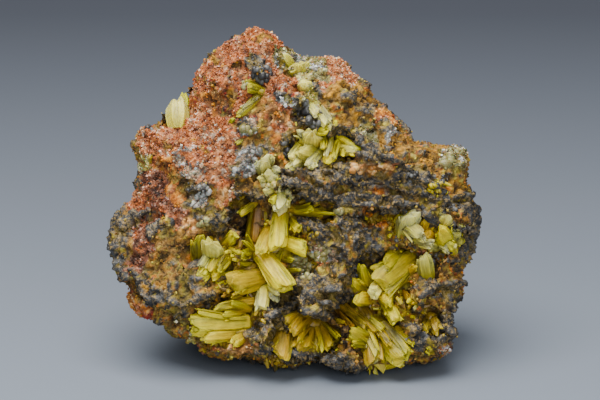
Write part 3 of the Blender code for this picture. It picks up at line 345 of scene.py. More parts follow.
# What covers the front, later strokes over earlier ones: kind, path across and up, half width
ZONES = [
    ("red", [(-7, 65.5), (-11, 62), (-13.5, 55.5)], 5.6),
    ("red", [(-16.5, 58.5), (-18.5, 51), (-21.5, 44.5)], 3.9),
    ("red", [(-11, 51), (-16.5, 44.5), (-25, 44.5)], 4.1), ("red", [(-4.5, 56.5), (0, 56.5)], 2.4),
    ("red", [(-13, 42.5), (-11, 36.5)], 3), ("red", [(-6, 62), (-4, 56.5)], 2.6),
    ("rose", [(-30, 44.5), (-26, 42.5), (-19.5, 39.5), (-12.5, 35)], 3.6),
    ("red", [(-28, 45), (-25.5, 44.5)], 1.9), ("white", [(-23, 41), (-21, 38.5)], 2.4),
    ("orange", [(-29, 40.5), (-27, 39)], 1.9), ("pale", [(-31, 40.5), (-31.5, 38)], 0.9),
    ("purple", [(-30, 35), (-28, 32), (-31, 29)], 3.6), ("purple", [(-24.5, 30), (-22.5, 25)], 2.4),
    ("red", [(-32, 33), (-33.5, 30.5)], 1.7), ("orange", [(-26.5, 34), (-24, 31.5)], 1.7),
    ("peach", [(-14.5, 32.5), (-12.5, 29)], 1.9),
    ("black", [(-37, 29.5), (-38.5, 24.5), (-39, 21)], 1.7),
    ("black", [(-34, 25.5), (-30.5, 24.5), (-27.5, 26.5)], 1.5),
    ("rose", [(-36, 22), (-36.5, 19.5)], 1.5),
    ("ochre", [(-33.5, 21), (-27, 19.5), (-22.5, 22.5)], 3),
    ("ochre", [(-28, 16.5), (-23.5, 17)], 2.8),
    ("black", [(-32.5, 18.5), (-31.5, 13.5), (-30, 9.5)], 1),
    ("olive", [(-38.5, 18), (-37, 15)], 1.5), ("orange", [(-34, 11), (-32, 8)], 1.9),
    ("blood", [(-31, 7), (-29.5, 6.5)], 1.1), ("rust", [(-33, 13.5), (-32.5, 11.5)], 1.3),
    ("black", [(-29, 11.5), (-27, 10.5), (-25.5, 12)], 1.7),
    ("olive", [(-22.5, 16.5), (-23.5, 12), (-24.5, 9.5)], 1.7),
    ("black", [(-20.5, 14.5), (-17, 15.5), (-15, 15.5)], 1.7),
    ("black", [(-20, 11.5), (-18, 10.5)], 1.3),
    ("black", [(-19, 29.5), (-16, 27), (-14, 28.5)], 2.1),
    ("black", [(-18, 26), (-12.5, 25.5)], 1.1), ("peach", [(-21.5, 27), (-21, 25.5)], 1.2),
    ("silver", [(-21, 32.5), (-19, 31)], 1.7), ("black", [(-21.5, 34.5), (-18, 35)], 1.1),
    ("black", [(-22.5, 32), (-22.5, 30.5)], 0.9), ("black", [(-12, 34), (-6, 32.5)], 0.9),
    ("rust", [(-11.5, 35.5), (-7.5, 35.5)], 1.1), ("olive", [(-27, 6.5), (-24, 3)], 2.4),
    ("black", [(-24.5, 6.5), (-22.5, 7.5)], 1.1), ("ochre", [(-22.5, 2.5), (-16.5, 1)], 1.7),
    ("olive", [(-13, 1), (-5.5, -0.5)], 1.9), ("ochre", [(-19.5, 0), (-11, -1)], 1.3),
    ("rust", [(-19.5, 3), (-16, 2)], 1.1), ("black", [(-7.5, 61), (-6, 59.5)], 2),
    ("rose", [(-6, 65), (-4, 62.5), (-3.5, 59.5)], 1), ("black", [(-13.5, 58.5), (-13.5, 58)], 0.6),
    ("black", [(-15, 51), (-15, 50.5)], 0.6), ("peach", [(-16.5, 55.5), (-15, 52)], 0.9),
    ("orange", [(-18.5, 53.5), (-17, 51.5)], 1.7),
    ("peach", [(-6, 51.5), (-2.5, 51), (-1.5, 47.5)], 2.8),
    ("orange", [(-3, 49.5), (-3, 45.5)], 1.3), ("ochre", [(-10, 50.5), (-6, 52.5)], 1.1),
    ("silver", [(-10.5, 48), (-8.5, 47.5)], 1.4), ("silver", [(-9.5, 42), (-6, 42.5)], 1.7),
    ("black", [(-7.5, 43.5), (-6, 42)], 1), ("silver", [(-11, 39.5), (-9, 38.5)], 1.5),
    ("black", [(-12.5, 38.5), (-12.5, 37.5)], 1.1),
    ("glass", [(-2, 62.5), (2, 61.5), (3.5, 59.5)], 2.1), ("red", [(-3, 56.5), (0, 56)], 1.7),
    ("glass", [(5.5, 60.5), (8.5, 58.5)], 1.7), ("rose", [(10, 61), (12, 58), (10.5, 55.5)], 2.6),
    ("rose", [(7.5, 56.5), (9, 54.5)], 1.7), ("black", [(5.5, 56.5), (6, 54)], 1.1),
    ("black", [(2, 52.5), (4.5, 52)], 1.7), ("black", [(3.5, 50), (6, 48), (7.5, 47)], 1.1),
    ("glass", [(-2.5, 53.5), (0, 53)], 1.3), ("black", [(-1, 45), (0, 44.5), (0, 41.5)], 1.3),
    ("black", [(7.5, 50.5), (9, 49)], 0.9), ("rust", [(11.5, 53.5), (16, 50.5), (22.5, 46.5)], 4.3),
    ("rust", [(9.5, 52), (12.5, 48)], 3), ("black", [(11.5, 54.5), (13.5, 54)], 1),
    ("black", [(14.5, 51.5), (17.5, 51)], 1.2), ("black", [(15, 48.5), (16.5, 48)], 1),
    ("black", [(20, 47.5), (23, 46)], 0.9), ("silver", [(21, 46), (22.5, 45)], 0.9),
    ("orange", [(19, 50.5), (23, 49)], 1.1), ("black", [(8, 47.5), (12.5, 46), (17.5, 42.5)], 1.5),
    ("black", [(13.5, 43), (19.5, 41)], 1.5), ("glass", [(15, 47), (18, 45)], 1.3),
    ("peach", [(15.5, 38.5), (21.5, 39)], 1.3),
    ("rust", [(23.5, 43.5), (28.5, 42.5), (32, 41)], 2.6),
    ("glass", [(34.5, 42), (36, 40.5), (35, 38.5)], 1.9), ("olive", [(33, 36), (35, 37.5)], 1.5),
    ("rust", [(34.5, 35.5), (36.5, 34)], 1.3), ("black", [(6, 39), (9.5, 38.5), (13, 36.5)], 2.6),
    ("black", [(-3, 35.5), (0, 37), (1, 38)], 1.7),
    ("black", [(-2.5, 35), (2, 34.5), (8.5, 34)], 1.5), ("orange", [(2.5, 37), (4, 36)], 1.1),
    ("black", [(0.5, 32.5), (8.5, 32)], 1.1),
    ("black", [(13, 33.5), (15.5, 36), (20, 36), (22, 34), (18, 32), (13.5, 32.5)], 1.1),
    ("orange", [(17.5, 34.5), (20, 34.5)], 0.9), ("olive", [(11.5, 34), (12.5, 32.5)], 0.9),
    ("black", [(22.5, 36), (27.5, 37), (31, 32.5)], 2.4),
    ("black", [(23.5, 32.5), (32, 31), (37.5, 31)], 1.9), ("olive", [(24, 34), (26, 32.5)], 0.9),
    ("olive", [(29.5, 31), (32, 29.5)], 0.9), ("lime", [(32, 35.5), (32.5, 32.5)], 1.3),
    ("black", [(36.5, 32.5), (38.5, 30.5), (39.5, 27.5), (38.5, 23.5), (36.5, 19.5)], 1.3),
    ("black", [(35, 18.5), (34.5, 16)], 1.3),
    ("black", [(11.5, 31), (17, 31), (23.5, 30.5), (29.5, 29.5)], 0.9),
    ("black", [(17, 29.5), (23.5, 29.5), (32, 27)], 0.5),
    ("orange", [(16, 28.5), (19.5, 27), (21.5, 29)], 1.7), ("orange", [(16, 23), (16, 18.5)], 1.1),
    ("black", [(18, 24.5), (18, 20)], 1.9), ("black", [(10.5, 30), (11.5, 26.5)], 1.3),
    ("black", [(12.5, 29), (14.5, 26), (15, 21), (13.5, 16.5)], 1.7),
    ("black", [(3, 27), (7, 25), (6.5, 22.5)], 2.4), ("black", [(9.5, 23.5), (11, 18.5)], 1.9),
    ("black", [(12.5, 13.5), (8.5, 10.5), (3, 6.5), (-2.5, 3), (-5, 1.5)], 2.6),
    ("black", [(8, 14), (11, 15.5)], 2.1), ("white", [(5.5, 21), (7.5, 19.5)], 1.7),
    ("glass", [(2, 18), (3, 16)], 1.7), ("pale", [(8.5, 15.5), (9.5, 15)], 1),
    # The dark pit strokes here paint shade into the deepest pits.
    ("shaded_pit", [(-1.5, 18.5), (0, 17)], 1.3), ("shaded_pit", [(-11, 26.5), (-9, 24)], 2.6),
    ("shaded_pit", [(-15, 11), (-9.5, 10)], 1.5), ("black", [(6.5, 8), (9, 7.5)], 1.3),
    ("shaded_pit", [(10, 8), (12.5, 3.5)], 1.7), ("shaded_pit", [(11.5, 2), (13, 0.5)], 1.3),
    ("black", [(0, -1), (6, -1.5), (12.5, -3)], 1.5), ("black", [(10.5, -3), (16.5, -5)], 1.3),
    ("black", [(25, 24), (27, 22.5)], 0.9), ("peach", [(28.5, 25.5), (29.5, 24.5)], 1.1),
    ("black", [(31, 22), (32.5, 21)], 1), ("rust", [(22.5, 11.5), (24, 9)], 1.5),
    ("black", [(24, 10), (25, 12.5), (28, 14.5)], 0.5), ("black", [(26, 8), (29, 11.5)], 0.5),
    ("olive", [(24.5, 9), (27, 12)], 0.6), ("ochre", [(33, 18.5), (35, 15), (35.5, 12)], 1.3),
    ("black", [(29.5, 13), (33, 12.5), (35.5, 9.5)], 1.7),
    ("black", [(26.5, 2), (29.5, 0.5), (32.5, 3), (33.5, 6.5)], 1.9),
    ("black", [(21.5, 6), (24, 5), (26.5, 6)], 0.9), ("olive", [(27, 4), (28.5, 4.5)], 0.6),
    ("white", [(32.5, -0.5), (33.5, 0)], 0.6), ("lime", [(29.5, -0.5), (30.5, -1.5)], 0.7),
    ("purple", [(28.5, 20.5), (29.5, 19.5)], 0.9),
    ("black", [(-8.6, 2.6), (-4.1, 6), (0, 9.4), (4.7, 12.6)], 2),
    ("black", [(-5, 1.6), (-1.6, 5.4)], 1.4),
    ("black", [(4.7, 12.6), (8.6, 10.6), (9.6, 16.4)], 2.6),
    ("black", [(-1, -1.4), (8, -3), (13.6, -4.4)], 1.5),
    ("purple", [(-33, 26.5), (-31.5, 22), (-33.5, 18)], 1.8),
    ("pale", [(-27.5, 7.5), (-24, 3.5), (-21, 2)], 0.9),
    ("ochre", [(-28.5, 8.5), (-25.5, 4.5), (-22.5, 3)], 1),
    ("black", [(-4.6, 10), (-1, 8.4), (2.4, 9.4), (6.4, 9.8)], 1.6),
    ("black", [(-1.2, 12), (2, 13.2), (6, 16)], 1.5),
    ("peach", [(-20, 1.6), (-14, 0.4), (-9, 0)], 1.2),
    ("rose", [(-20, 50), (-17, 46), (-13, 44)], 2.2),
    ("black", [(-38, 28.5), (-36.6, 24.5), (-37.4, 20)], 2),
    ("pale", [(2.6, 58.9), (3.6, 56.5), (4.8, 53), (6.6, 50.2), (8.4, 48)], 1.1),
    ("honey", [(-16, 14), (-12, 12), (-9, 9.8), (-6, 7)], 1.6),
    ("honey", [(-12, 22), (-9.6, 21)], 1.6),
]

# Each kind of surface: its dark, middle and light tone and an accent as they look in the
# picture (0 to 255), the accent's share, then how rough and how shiny it is
KINDS = {
    "ochre": ((74, 52, 24), (140, 104, 56), (184, 140, 82), (156, 134, 70), 0.14, 0.85),
    "red": ((98, 54, 34), (170, 106, 74), (200, 140, 102), (220, 186, 158), 0.03, 0.50),
    "rose": ((112, 68, 46), (180, 122, 88), (208, 160, 124), (228, 204, 182), 0.09, 0.45),
    "white": ((136, 106, 84), (204, 176, 148), (224, 210, 188), (236, 228, 216), 0.15, 0.35),
    "orange": ((110, 58, 18), (194, 122, 52), (222, 158, 88), (232, 184, 124), 0.10, 0.80),
    "peach": ((130, 82, 44), (196, 142, 92), (220, 178, 128), (230, 202, 164), 0.12, 0.60),
    "purple": ((56, 34, 28), (116, 74, 56), (156, 110, 86), (182, 146, 128), 0.10, 0.55),
    "rust": ((74, 52, 20), (136, 102, 48), (170, 128, 64), (196, 146, 74), 0.14, 0.85),
    "blood": ((80, 26, 10), (134, 50, 22), (172, 84, 42), (200, 124, 70), 0.10, 0.60),
    "black": ((20, 19, 18), (50, 49, 48), (100, 100, 98), (150, 130, 70), 0.28, 0.48),
    "olive": ((62, 54, 22), (134, 118, 56), (172, 152, 78), (196, 180, 104), 0.15, 0.70),
    "lime": ((84, 70, 16), (164, 144, 46), (196, 178, 66), (220, 206, 106), 0.20, 0.45),
    "pale": ((126, 116, 64), (184, 172, 110), (208, 202, 148), (226, 222, 188), 0.16, 0.40),
    "glass": ((66, 62, 40), (132, 126, 86), (172, 168, 124), (206, 202, 168), 0.16, 0.30),
    "silver": ((48, 48, 48), (112, 110, 104), (164, 164, 158), (212, 214, 210), 0.16, 0.28),
    # The darkest kind, for the deepest pits: painted shade, with some rust and black crust mixed in.
    "shaded_pit": ((26, 16, 6), (60, 38, 14), (98, 70, 28), (146, 112, 48), 0.12, 0.85),
    "honey": ((60, 46, 16), (120, 98, 44), (160, 136, 66), (190, 168, 92), 0.18, 0.60),
}

KIND_NAMES = list(KINDS)
NUMBER = {name: number for number, name in enumerate(KIND_NAMES)}

# Thin ledges of the crust, each with a groove under it: path, half width, height
LEDGES = [
    ([(-2.4, 36.2), (3.6, 34.9), (9.2, 32.5), (14.8, 32.3), (20.8, 32.5), (24.2, 31),
    (27.6, 29.7), (31.9, 27.2), (39.2, 25)], 0.8, 1.3),
    ([(1.1, 49.4), (7.1, 47.3), (10.5, 44.3), (13.5, 42.2), (18.2, 40.9)], 0.9, 1),
    ([(15.6, 34.5), (17.3, 36.4), (20.8, 35.5), (21.8, 33)], 0.6, 0.8),
    ([(-2.8, 38.5), (2.8, 37.9), (5.8, 36)], 0.8, 0.9),
    ([(10.1, 31), (10.5, 26.8), (11.8, 24.2)], 0.7, 0.9),
    ([(14.8, 29.3), (14.6, 23.3), (13.9, 18.2)], 0.7, 0.9),
    ([(24.2, 37), (28.9, 36.2), (31.9, 33.6), (34.5, 29.7)], 0.7, 0.7),
    ([(35.1, 32.7), (38.7, 32.7), (39.6, 28.9), (38.7, 25)], 0.7, 0.8),
    ([(4.1, 26.5), (6.6, 23.8), (8.3, 20.8)], 0.8, 0.8),
    ([(-4.5, 6.6), (1.1, 10.5), (6.2, 12.6), (10.1, 13.5)], 0.9, 1),
    ([(5.8, 10.5), (9.6, 9.2), (13.1, 7.9), (17.3, 5.8)], 0.7, 0.8),
    ([(25.9, 4.1), (29.3, 5.8), (33.6, 4.1), (35.3, 1.1)], 0.8, 0.8),
    ([(27.6, 11.3), (31.9, 13.9), (36.6, 14.3)], 0.7, 0.8),
    ([(-36.6, 26.3), (-33.2, 28.9), (-29.7, 29.3)], 0.9, 0.8),
    ([(-38.3, 22), (-37, 18.6), (-34.9, 15.6)], 0.8, 0.8),
    ([(-34, 16.9), (-32.3, 13.1), (-29.7, 9.6)], 0.8, 0.9),
    ([(-26.3, 10.5), (-23.3, 9.6), (-20.3, 10.5)], 0.8, 0.9),
    ([(-22.5, 34), (-19.5, 34.9), (-17.3, 33.2)], 0.7, 0.7),
    ([(-0.2, -0.6), (6.2, -2.4), (12.6, -3.6), (17.3, -5.3)], 0.8, 0.8),
    ([(-1, 33.4), (6, 32.4), (12, 31.2), (18, 30.6), (24, 29.6)], 0.6, 0.8),
    ([(7, 38.6), (14, 35.4), (22, 34.4), (28, 32.9), (34, 31.4)], 0.5, 0.7),
    ([(8, 46.6), (13, 44.9), (17, 42.6), (21, 40.6), (26, 38.6)], 0.6, 0.8),
    ([(6, 51), (8.5, 47.6), (11.5, 45.4)], 0.6, 0.7),
    ([(24, 25.4), (27.4, 24), (31.6, 26.6)], 0.5, 0.6),
]

LEDGE_EDGE = 0.45

# Relief of each kind in millimetres: how far it stands out, lumps, nodules, nodule size, pits
RELIEF = {
    "ochre": (0.0, 0.32, 0.16, 1.4, 0.4),
    "red": (0.0, 0.22, 0.26, 1.1, 0.1),
    "rose": (0.0, 0.22, 0.26, 1.2, 0.1),
    "white": (0.1, 0.20, 0.26, 1.2, 0.0),
    "orange": (0.0, 0.30, 0.20, 1.3, 0.3),
    "peach": (0.1, 0.22, 0.35, 1.8, 0.1),
    "purple": (-0.1, 0.34, 0.25, 1.2, 0.4),
    "rust": (0.0, 0.36, 0.20, 1.3, 0.5),
    "blood": (0.0, 0.25, 0.20, 1.1, 0.2),
    "black": (0.40, 0.12, 0.20, 1.8, 0.2),
    "olive": (0.0, 0.30, 0.22, 1.2, 0.3),
    "lime": (-0.1, 0.25, 0.25, 1.1, 0.2),
    "pale": (0.2, 0.20, 0.35, 1.5, 0.1),
    "glass": (0.1, 0.28, 0.30, 1.3, 0.1),
    "silver": (0.2, 0.22, 0.40, 1.4, 0.1),
    "shaded_pit": (-0.5, 0.40, 0.20, 1.2, 0.5),
    "honey": (-0.2, 0.35, 0.25, 1.1, 0.2),
}


# What else is mixed into each kind in small patches, with its share
MIXED = {
    "ochre": (("black", 0.09), ("orange", 0.10), ("olive", 0.16)),
    "red": (("rust", 0.12), ("blood", 0.08), ("orange", 0.08), ("purple", 0.08), ("rose", 0.12)),
    "rose": (("red", 0.30), ("white", 0.08)),
    "white": (("red", 0.20), ("silver", 0.12)),
    "orange": (("red", 0.15), ("peach", 0.12)),
    "peach": (("red", 0.12), ("ochre", 0.15)),
    "purple": (("black", 0.12), ("red", 0.20)),
    "rust": (("black", 0.10), ("orange", 0.06), ("olive", 0.12)),
    "black": (("olive", 0.14), ("ochre", 0.04)),
    "olive": (("black", 0.14), ("ochre", 0.20)),
    "lime": (("ochre", 0.15), ("olive", 0.15)),
    "pale": (("lime", 0.15), ("ochre", 0.06)),
    "glass": (("silver", 0.2), ("olive", 0.15)),
    "silver": (("black", 0.16), ("white", 0.15)),
    "shaded_pit": (("rust", 0.20), ("black", 0.10)),
    # Honey takes small patches of the dark pit tone: painted shade in its gaps.
    "honey": (("rust", 0.14), ("lime", 0.20), ("shaded_pit", 0.08)),
}
# How much golden dust lies on each kind, and its colour in linear light
DUSTY = {"black": 0.85, "olive": 0.5, "rust": 0.5, "ochre": 0.5, "shaded_pit": 0.4, "red": 0.08,
         "rose": 0.05, "white": 0.0, "silver": 0.1, "glass": 0.1, "pale": 0.1, "honey": 0.3}
DUST_COLOUR = (0.33, 0.215, 0.065)
DULL_KINDS = ["ochre", "rust", "olive", "orange", "peach", "lime"]

# Grains on the rock: round or not, kinds, number, half size, seed, spread, how far out, then
# roughness and how far light passes in
GRAINS = {
    "red_druse": (False, ["red", "rose", "purple"], 16000, (0.07, 0.20), 1, 0.4, 0.0, 0.4, 0.2),
    "ochre_crumbs": (False, ["ochre", "rust", "orange", "olive", "peach", "blood"],
                     7400, (0.07, 0.22), 2, 0.5, 0.0, 0.8, 0.1),
    "black_heads": (True, ["black"], 2200, (0.10, 0.34), 3, 0.15, -0.1, 0.5, 0.0),
    "bright_grains": (False, ["white", "silver", "glass", "pale"],
                      3800, (0.08, 0.22), 4, 0.5, 0.0, 0.25, 0.4),
}

# Width of a small prism's top, the range of noise, how far light spreads, the floor's tones: near, and
# darker far away as painted fall-off of the light
PRISM_TOP = 0.55
NOISE_RANGE = (0.3, 0.7)
GLOW_RADIUS = (1.0, 0.85, 0.3)
FLOOR_NEAR = (0.190, 0.222, 0.270)
FLOOR_FAR_SHADED = (0.070, 0.079, 0.102)

# Profile of a blade: share of its length, share of its width
BLADE_RINGS = {
    "blunt": [(0.0, 0.88), (0.3, 0.97), (0.7, 1.0), (0.91, 0.97), (1.0, 0.84)],
    "tongue": [(0.0, 0.85), (0.3, 0.97), (0.65, 1.0), (0.85, 0.94), (0.95, 0.82), (1.0, 0.65)],
    "barrel": [(0.0, 0.70), (0.2, 0.92), (0.45, 1.0), (0.7, 0.96), (0.88, 0.80), (0.97, 0.58),
               (1.0, 0.40)],
}

# Tones of the crystals as they look in the picture: root, then tip
# Each root tone is darker than its tip: painted shade where the crystal sits down in its hollow,
# together with some real change of colour along the crystal.
CRYSTAL_TONES = {
    "lemon": ((172, 152, 36), (200, 184, 64)),
    "straw": ((156, 132, 48), (200, 182, 92)),
    "olive": ((124, 110, 36), (170, 158, 68)),
    "green": ((142, 136, 70), (188, 182, 122)),
    "frost": ((178, 170, 104), (204, 198, 146)),
    "honey": ((116, 94, 38), (168, 144, 66)),
    "gold": ((142, 120, 36), (174, 154, 52)),
    "amber": ((104, 76, 24), (144, 112, 42)),
    "cream": ((178, 164, 96), (208, 198, 136)),
    "butter": ((186, 166, 66), (214, 198, 94)),
    "peach": ((176, 132, 66), (206, 168, 98)),
    "lime_green": ((120, 122, 40), (166, 164, 72)),
}
SHARP_ANGLE = math.radians(42.0)
ROUNDED_GROUPS = ["shoulder_crystals", "summit_crystals", "upper_pocket_crystals"]
STEPS_PER_WIDTH = 2.2
SLIVER = 0.03
STRANDS_ACROSS = 3.4
STRANDS_ALONG = 0.22

# Rounded lumps on the front: kind of tone, across, up, radius of the cluster, number of
# heads, radius of a head
NODULES = [
    ("glass", -1.6, 32.8, 1.4, 5, 1), ("silver", 2.9, 28.4, 0.5, 1, 0.9),
    ("black", 3, 28.4, 0.5, 2, 0.8), ("black", 5.1, 28.7, 0.3, 1, 0.9),
    ("glass", 6, 20.2, 2.2, 7, 1.1), ("glass", 2.4, 17.4, 2, 7, 1.2),
    ("glass", 3.4, 15.2, 1.2, 3, 1.1), ("olive", 4.6, 24.6, 1.4, 4, 0.8),
    ("black", -6.7, 60.2, 2, 9, 1.1), ("black", 3.3, 52.2, 1.5, 4, 1.2),
    ("black", 4.8, 49.4, 1.4, 5, 0.9), ("black", -0.4, 43.5, 1.8, 5, 1),
    ("silver", -9.6, 39, 1.9, 6, 0.9), ("silver", -8, 42.2, 1.5, 4, 0.9),
    ("silver", -12.6, 38.2, 0.9, 3, 0.8), ("glass", -9.4, 47.6, 1.5, 4, 1.2),
    ("glass", -10.6, 57.8, 0.8, 3, 0.8), ("silver", -20.2, 33.6, 1.6, 7, 0.8),
    ("glass", -19.8, 26.6, 1.3, 4, 0.9), ("black", -31.8, 47.4, 0.8, 3, 0.8),
    ("glass", 10.4, 29.6, 0.9, 3, 1), ("black", 33.2, 36.6, 1.4, 5, 0.7),
    ("black", 27, 37.2, 1.6, 6, 0.6), ("black", 36.6, 30, 1.2, 5, 0.6),
    ("black", 24, 23.6, 1.3, 4, 0.7), ("black", 31.6, 18.6, 1.3, 5, 0.7),
    ("peach", 14.6, 39, 1.2, 4, 1), ("peach", 18, 38.8, 0.9, 3, 0.9),
    ("glass", 34.8, 40.8, 1.6, 6, 1.4), ("glass", 1.4, 61.2, 1.5, 5, 0.9),
    ("pale", -5.2, 37.6, 2.4, 16, 0.8), ("pale", -4.4, 34.4, 1.8, 12, 0.8),
    ("pale", -2.8, 32.2, 1.6, 9, 0.8), ("lime", 32, 34, 1.4, 5, 0.8),
]


def srgb(tone, depth=1.0):
    """Turn a tone as it looks (0 to 255) into linear light, deepened to keep its colour."""
    share = np.asarray(tone, dtype=float) / 255.0
    light = np.where(share <= 0.04045, share / 12.92, ((share + 0.055) / 1.055) ** 2.4)
    middle = light.mean(axis=-1, keepdims=True)
    return np.clip(middle + (light - middle) * depth, 0.003, 0.9)


def smoothstep(low, high, value):
    """Rise smoothly from 0 at low to 1 at high."""
    share = np.clip((value - low) / (high - low), 0.0, 1.0)
    return share * share * (3.0 - 2.0 * share)


def to_world(across, up, depth):
    """Turn places seen from the front into the model's own axes, in millimetres."""
    spread = 1.0 + depth / SIGHT_DISTANCE
    across = SIGHT_AIM[0] + (across - SIGHT_AIM[0]) * spread
    up = SIGHT_AIM[1] + (up - SIGHT_AIM[1]) * spread
    sine = math.sin(SIGHT_ELEVATION)
    cosine = math.cos(SIGHT_ELEVATION)
    return across, up * sine + depth * cosine, up * cosine - depth * sine


def to_front(points):
    """Turn places in the model's axes into across, up and depth seen from the front."""
    sine = math.sin(SIGHT_ELEVATION)
    cosine = math.cos(SIGHT_ELEVATION)
    depth = points[:, 1] * cosine - points[:, 2] * sine
    up = points[:, 1] * sine + points[:, 2] * cosine
    spread = 1.0 + depth / SIGHT_DISTANCE
    across = SIGHT_AIM[0] + (points[:, 0] - SIGHT_AIM[0]) / spread
    return across, SIGHT_AIM[1] + (up - SIGHT_AIM[1]) / spread, depth


def edge_radius(angle):
    """Distance from the block's centre to its outline, at each angle."""
    corners = np.array(OUTLINE) - np.array(BLOCK_CENTRE)
    angles = np.arctan2(corners[:, 1], corners[:, 0])
    order = np.argsort(angles)
    radii = np.hypot(corners[:, 0], corners[:, 1])
    return np.interp(angle, angles[order], radii[order], period=2.0 * math.pi)


def edge_depth(up):
    """How far back the outline lies, by height."""
    heights, depths = zip(*EDGE_DEPTH)
    return np.interp(up, heights, depths)


def front_depth(across, up):
    """Depth of the plain front surface at a place, before hollows and ridges."""
    side = across - BLOCK_CENTRE[0]
    rise = up - BLOCK_CENTRE[1]
    reach = np.hypot(side, rise) / edge_radius(np.arctan2(rise, side))
    reach = np.minimum(reach, 1.0)
    bulge = (1.0 - reach ** BLOCK_ROUNDNESS) ** (1.0 / BLOCK_ROUNDNESS)
    return edge_depth(up) * reach ** 2 - DEPTH_IN_FRONT * bulge


def path_distance(across, up, path):
    """Distance from each place to a path of straight stretches."""
    nearest = np.full(across.shape, np.inf)
    for (start_x, start_y), (end_x, end_y) in zip(path, path[1:]):
        run_x = end_x - start_x
        run_y = end_y - start_y
        along = (across - start_x) * run_x + (up - start_y) * run_y
        along = np.clip(along / (run_x ** 2 + run_y ** 2), 0.0, 1.0)
        gap = np.hypot(across - start_x - along * run_x, up - start_y - along * run_y)
        nearest = np.minimum(nearest, gap)
    return nearest


def relief(across, up):
    """Height of hollows and ridges over the plain front: positive towards the viewer."""
    depth = np.zeros(across.shape)
    for path, half_width, deep in HOLLOWS:
        share = 1.0 - smoothstep(0.55, 1.35, path_distance(across, up, path) / half_width)
        depth = np.maximum(depth, deep * share)
    height = np.zeros(across.shape)
    for path, half_width, high in RIDGES:
        share = 1.0 - smoothstep(0.3, 1.3, path_distance(across, up, path) / half_width)
        height = np.maximum(height, high * share)
    return height - depth


def fractal(points, size, octaves, shift=(0.0, 0.0, 0.0), rough=0.9, step=2.0):
    """Smooth noise of a given grain size in millimetres, about -1 to 1, at each point."""
    spots = (points / size + np.array(shift)).tolist()
    return np.array([noise.fractal(spot, rough, step, octaves) for spot in spots])


def nodules(points, size, shift):
    """Round heads packed together: 1 at the middle of a head, 0 between heads."""
    spots = (points / size + np.array(shift)).tolist()
    gaps = np.array([noise.voronoi(spot)[0][0] for spot in spots])
    return np.sqrt(np.clip(1.0 - (gaps / 0.8) ** 2, 0.0, 1.0))


def mesh_points(mesh):
    """The vertices of a mesh as an array, in millimetres."""
    flat = np.empty(len(mesh.vertices) * 3)
    mesh.vertices.foreach_get("co", flat)
    return flat.reshape(-1, 3) / MM


def mesh_normals(mesh):
    """The vertex normals of a mesh as an array."""
    flat = np.empty(len(mesh.vertices) * 3)
    mesh.vertex_normals.foreach_get("vector", flat)
    return flat.reshape(-1, 3)


def set_points(mesh, points):
    """Put a mesh's vertices at places given in millimetres."""
    mesh.vertices.foreach_set("co", (points * MM).ravel())
    mesh.update()


def new_object(name, mesh):
    """Add a mesh to the scene."""
    thing = bpy.data.objects.new(name, mesh)
    bpy.context.scene.collection.objects.link(thing)
    return thing


def bake(thing):
    """Put an object's evaluated mesh in place of its mesh and its modifiers."""
    bpy.context.view_layer.update()
    graph = bpy.context.evaluated_depsgraph_get()
    finished = bpy.data.meshes.new_from_object(thing.evaluated_get(graph))
    raw = thing.data
    thing.modifiers.clear()
    thing.data = finished
    bpy.data.meshes.remove(raw)


def mesh_of(form, name):
    """Turn a form into a mesh."""
    mesh = bpy.data.meshes.new(name)
    form.to_mesh(mesh)
    form.free()
    return mesh


def ball_mesh(name, subdivisions):
    """A ball of radius 1 mm as a mesh."""
    form = bmesh.new()
    bmesh.ops.create_icosphere(form, subdivisions=subdivisions, radius=MM)
    return mesh_of(form, name)


def roughen(mesh, quiet):
    """Push the surface in and out by two sizes of noise, less where quiet is near 1."""
    points = mesh_points(mesh)
    lump = fractal(points, LUMP_SIZE, 3, step=2.1)
    pit = fractal(points, PIT_SIZE, 2, (7.0, 3.0, 1.0), rough=0.8)
    push = (LUMP_HEIGHT * lump + PIT_HEIGHT * pit) * (1.0 - 0.8 * quiet)
    set_points(mesh, points + mesh_normals(mesh) * push[:, None])


def block_mesh():
    """The main block: a ball pulled out to the outline, with the relief on its front."""
    mesh = ball_mesh("block", 8)
    ball = mesh_points(mesh)
    flat = np.hypot(ball[:, 0], ball[:, 1])
    angle = np.arctan2(ball[:, 1], ball[:, 0])
    reach = flat ** (2.0 / BLOCK_ROUNDNESS)
    bulge = np.abs(ball[:, 2]) ** (2.0 / BLOCK_ROUNDNESS)
    radius = edge_radius(angle) * reach
    across = BLOCK_CENTRE[0] + radius * np.cos(angle)
    up = BLOCK_CENTRE[1] + radius * np.sin(angle)
    in_front = ball[:, 2] > 0.0
    depth = edge_depth(up) * reach ** 2
    depth += np.where(in_front, -DEPTH_IN_FRONT, DEPTH_BEHIND) * bulge
    depth -= np.where(in_front, relief(across, up) * smoothstep(0.1, 0.45, bulge), 0.0)
    set_points(mesh, np.column_stack(to_world(across, up, depth)))
    roughen(mesh, 1.0 - smoothstep(0.1, 0.45, bulge))
    return mesh


def lump_mesh(centre, half_size):
    """A rough bulge of the underside or the back."""
    mesh = ball_mesh("lump", 6)
    set_points(mesh, mesh_points(mesh) * np.array(half_size) + np.array(centre))
    roughen(mesh, np.zeros(len(mesh.vertices)))
    return mesh


def press_breaks(points):
    """Press the surface back where it stands beyond a flat break."""
    for direction, distance in BREAKS:
        outward = np.array(Vector(direction).normalized())
        over = (points - np.array(BREAK_CENTRE)) @ outward - distance
        points = points - np.outer(np.maximum(over, 0.0) * 0.88, outward)
    return points


def rock_skin():
    """The rock's whole surface as one fine even mesh, before its small relief."""
    form = bmesh.new()
    for mesh in [block_mesh()] + [lump_mesh(*lump) for lump in LUMPS]:
        set_points(mesh, press_breaks(mesh_points(mesh)))
        form.from_mesh(mesh)
        bpy.data.meshes.remove(mesh)
    rock = new_object("rock_surface", mesh_of(form, "rock_surface"))
    skin = rock.modifiers.new("one_skin", "REMESH")
    skin.mode = "VOXEL"
    skin.voxel_size = SKIN_VOXEL * MM
    bake(rock)
    return rock


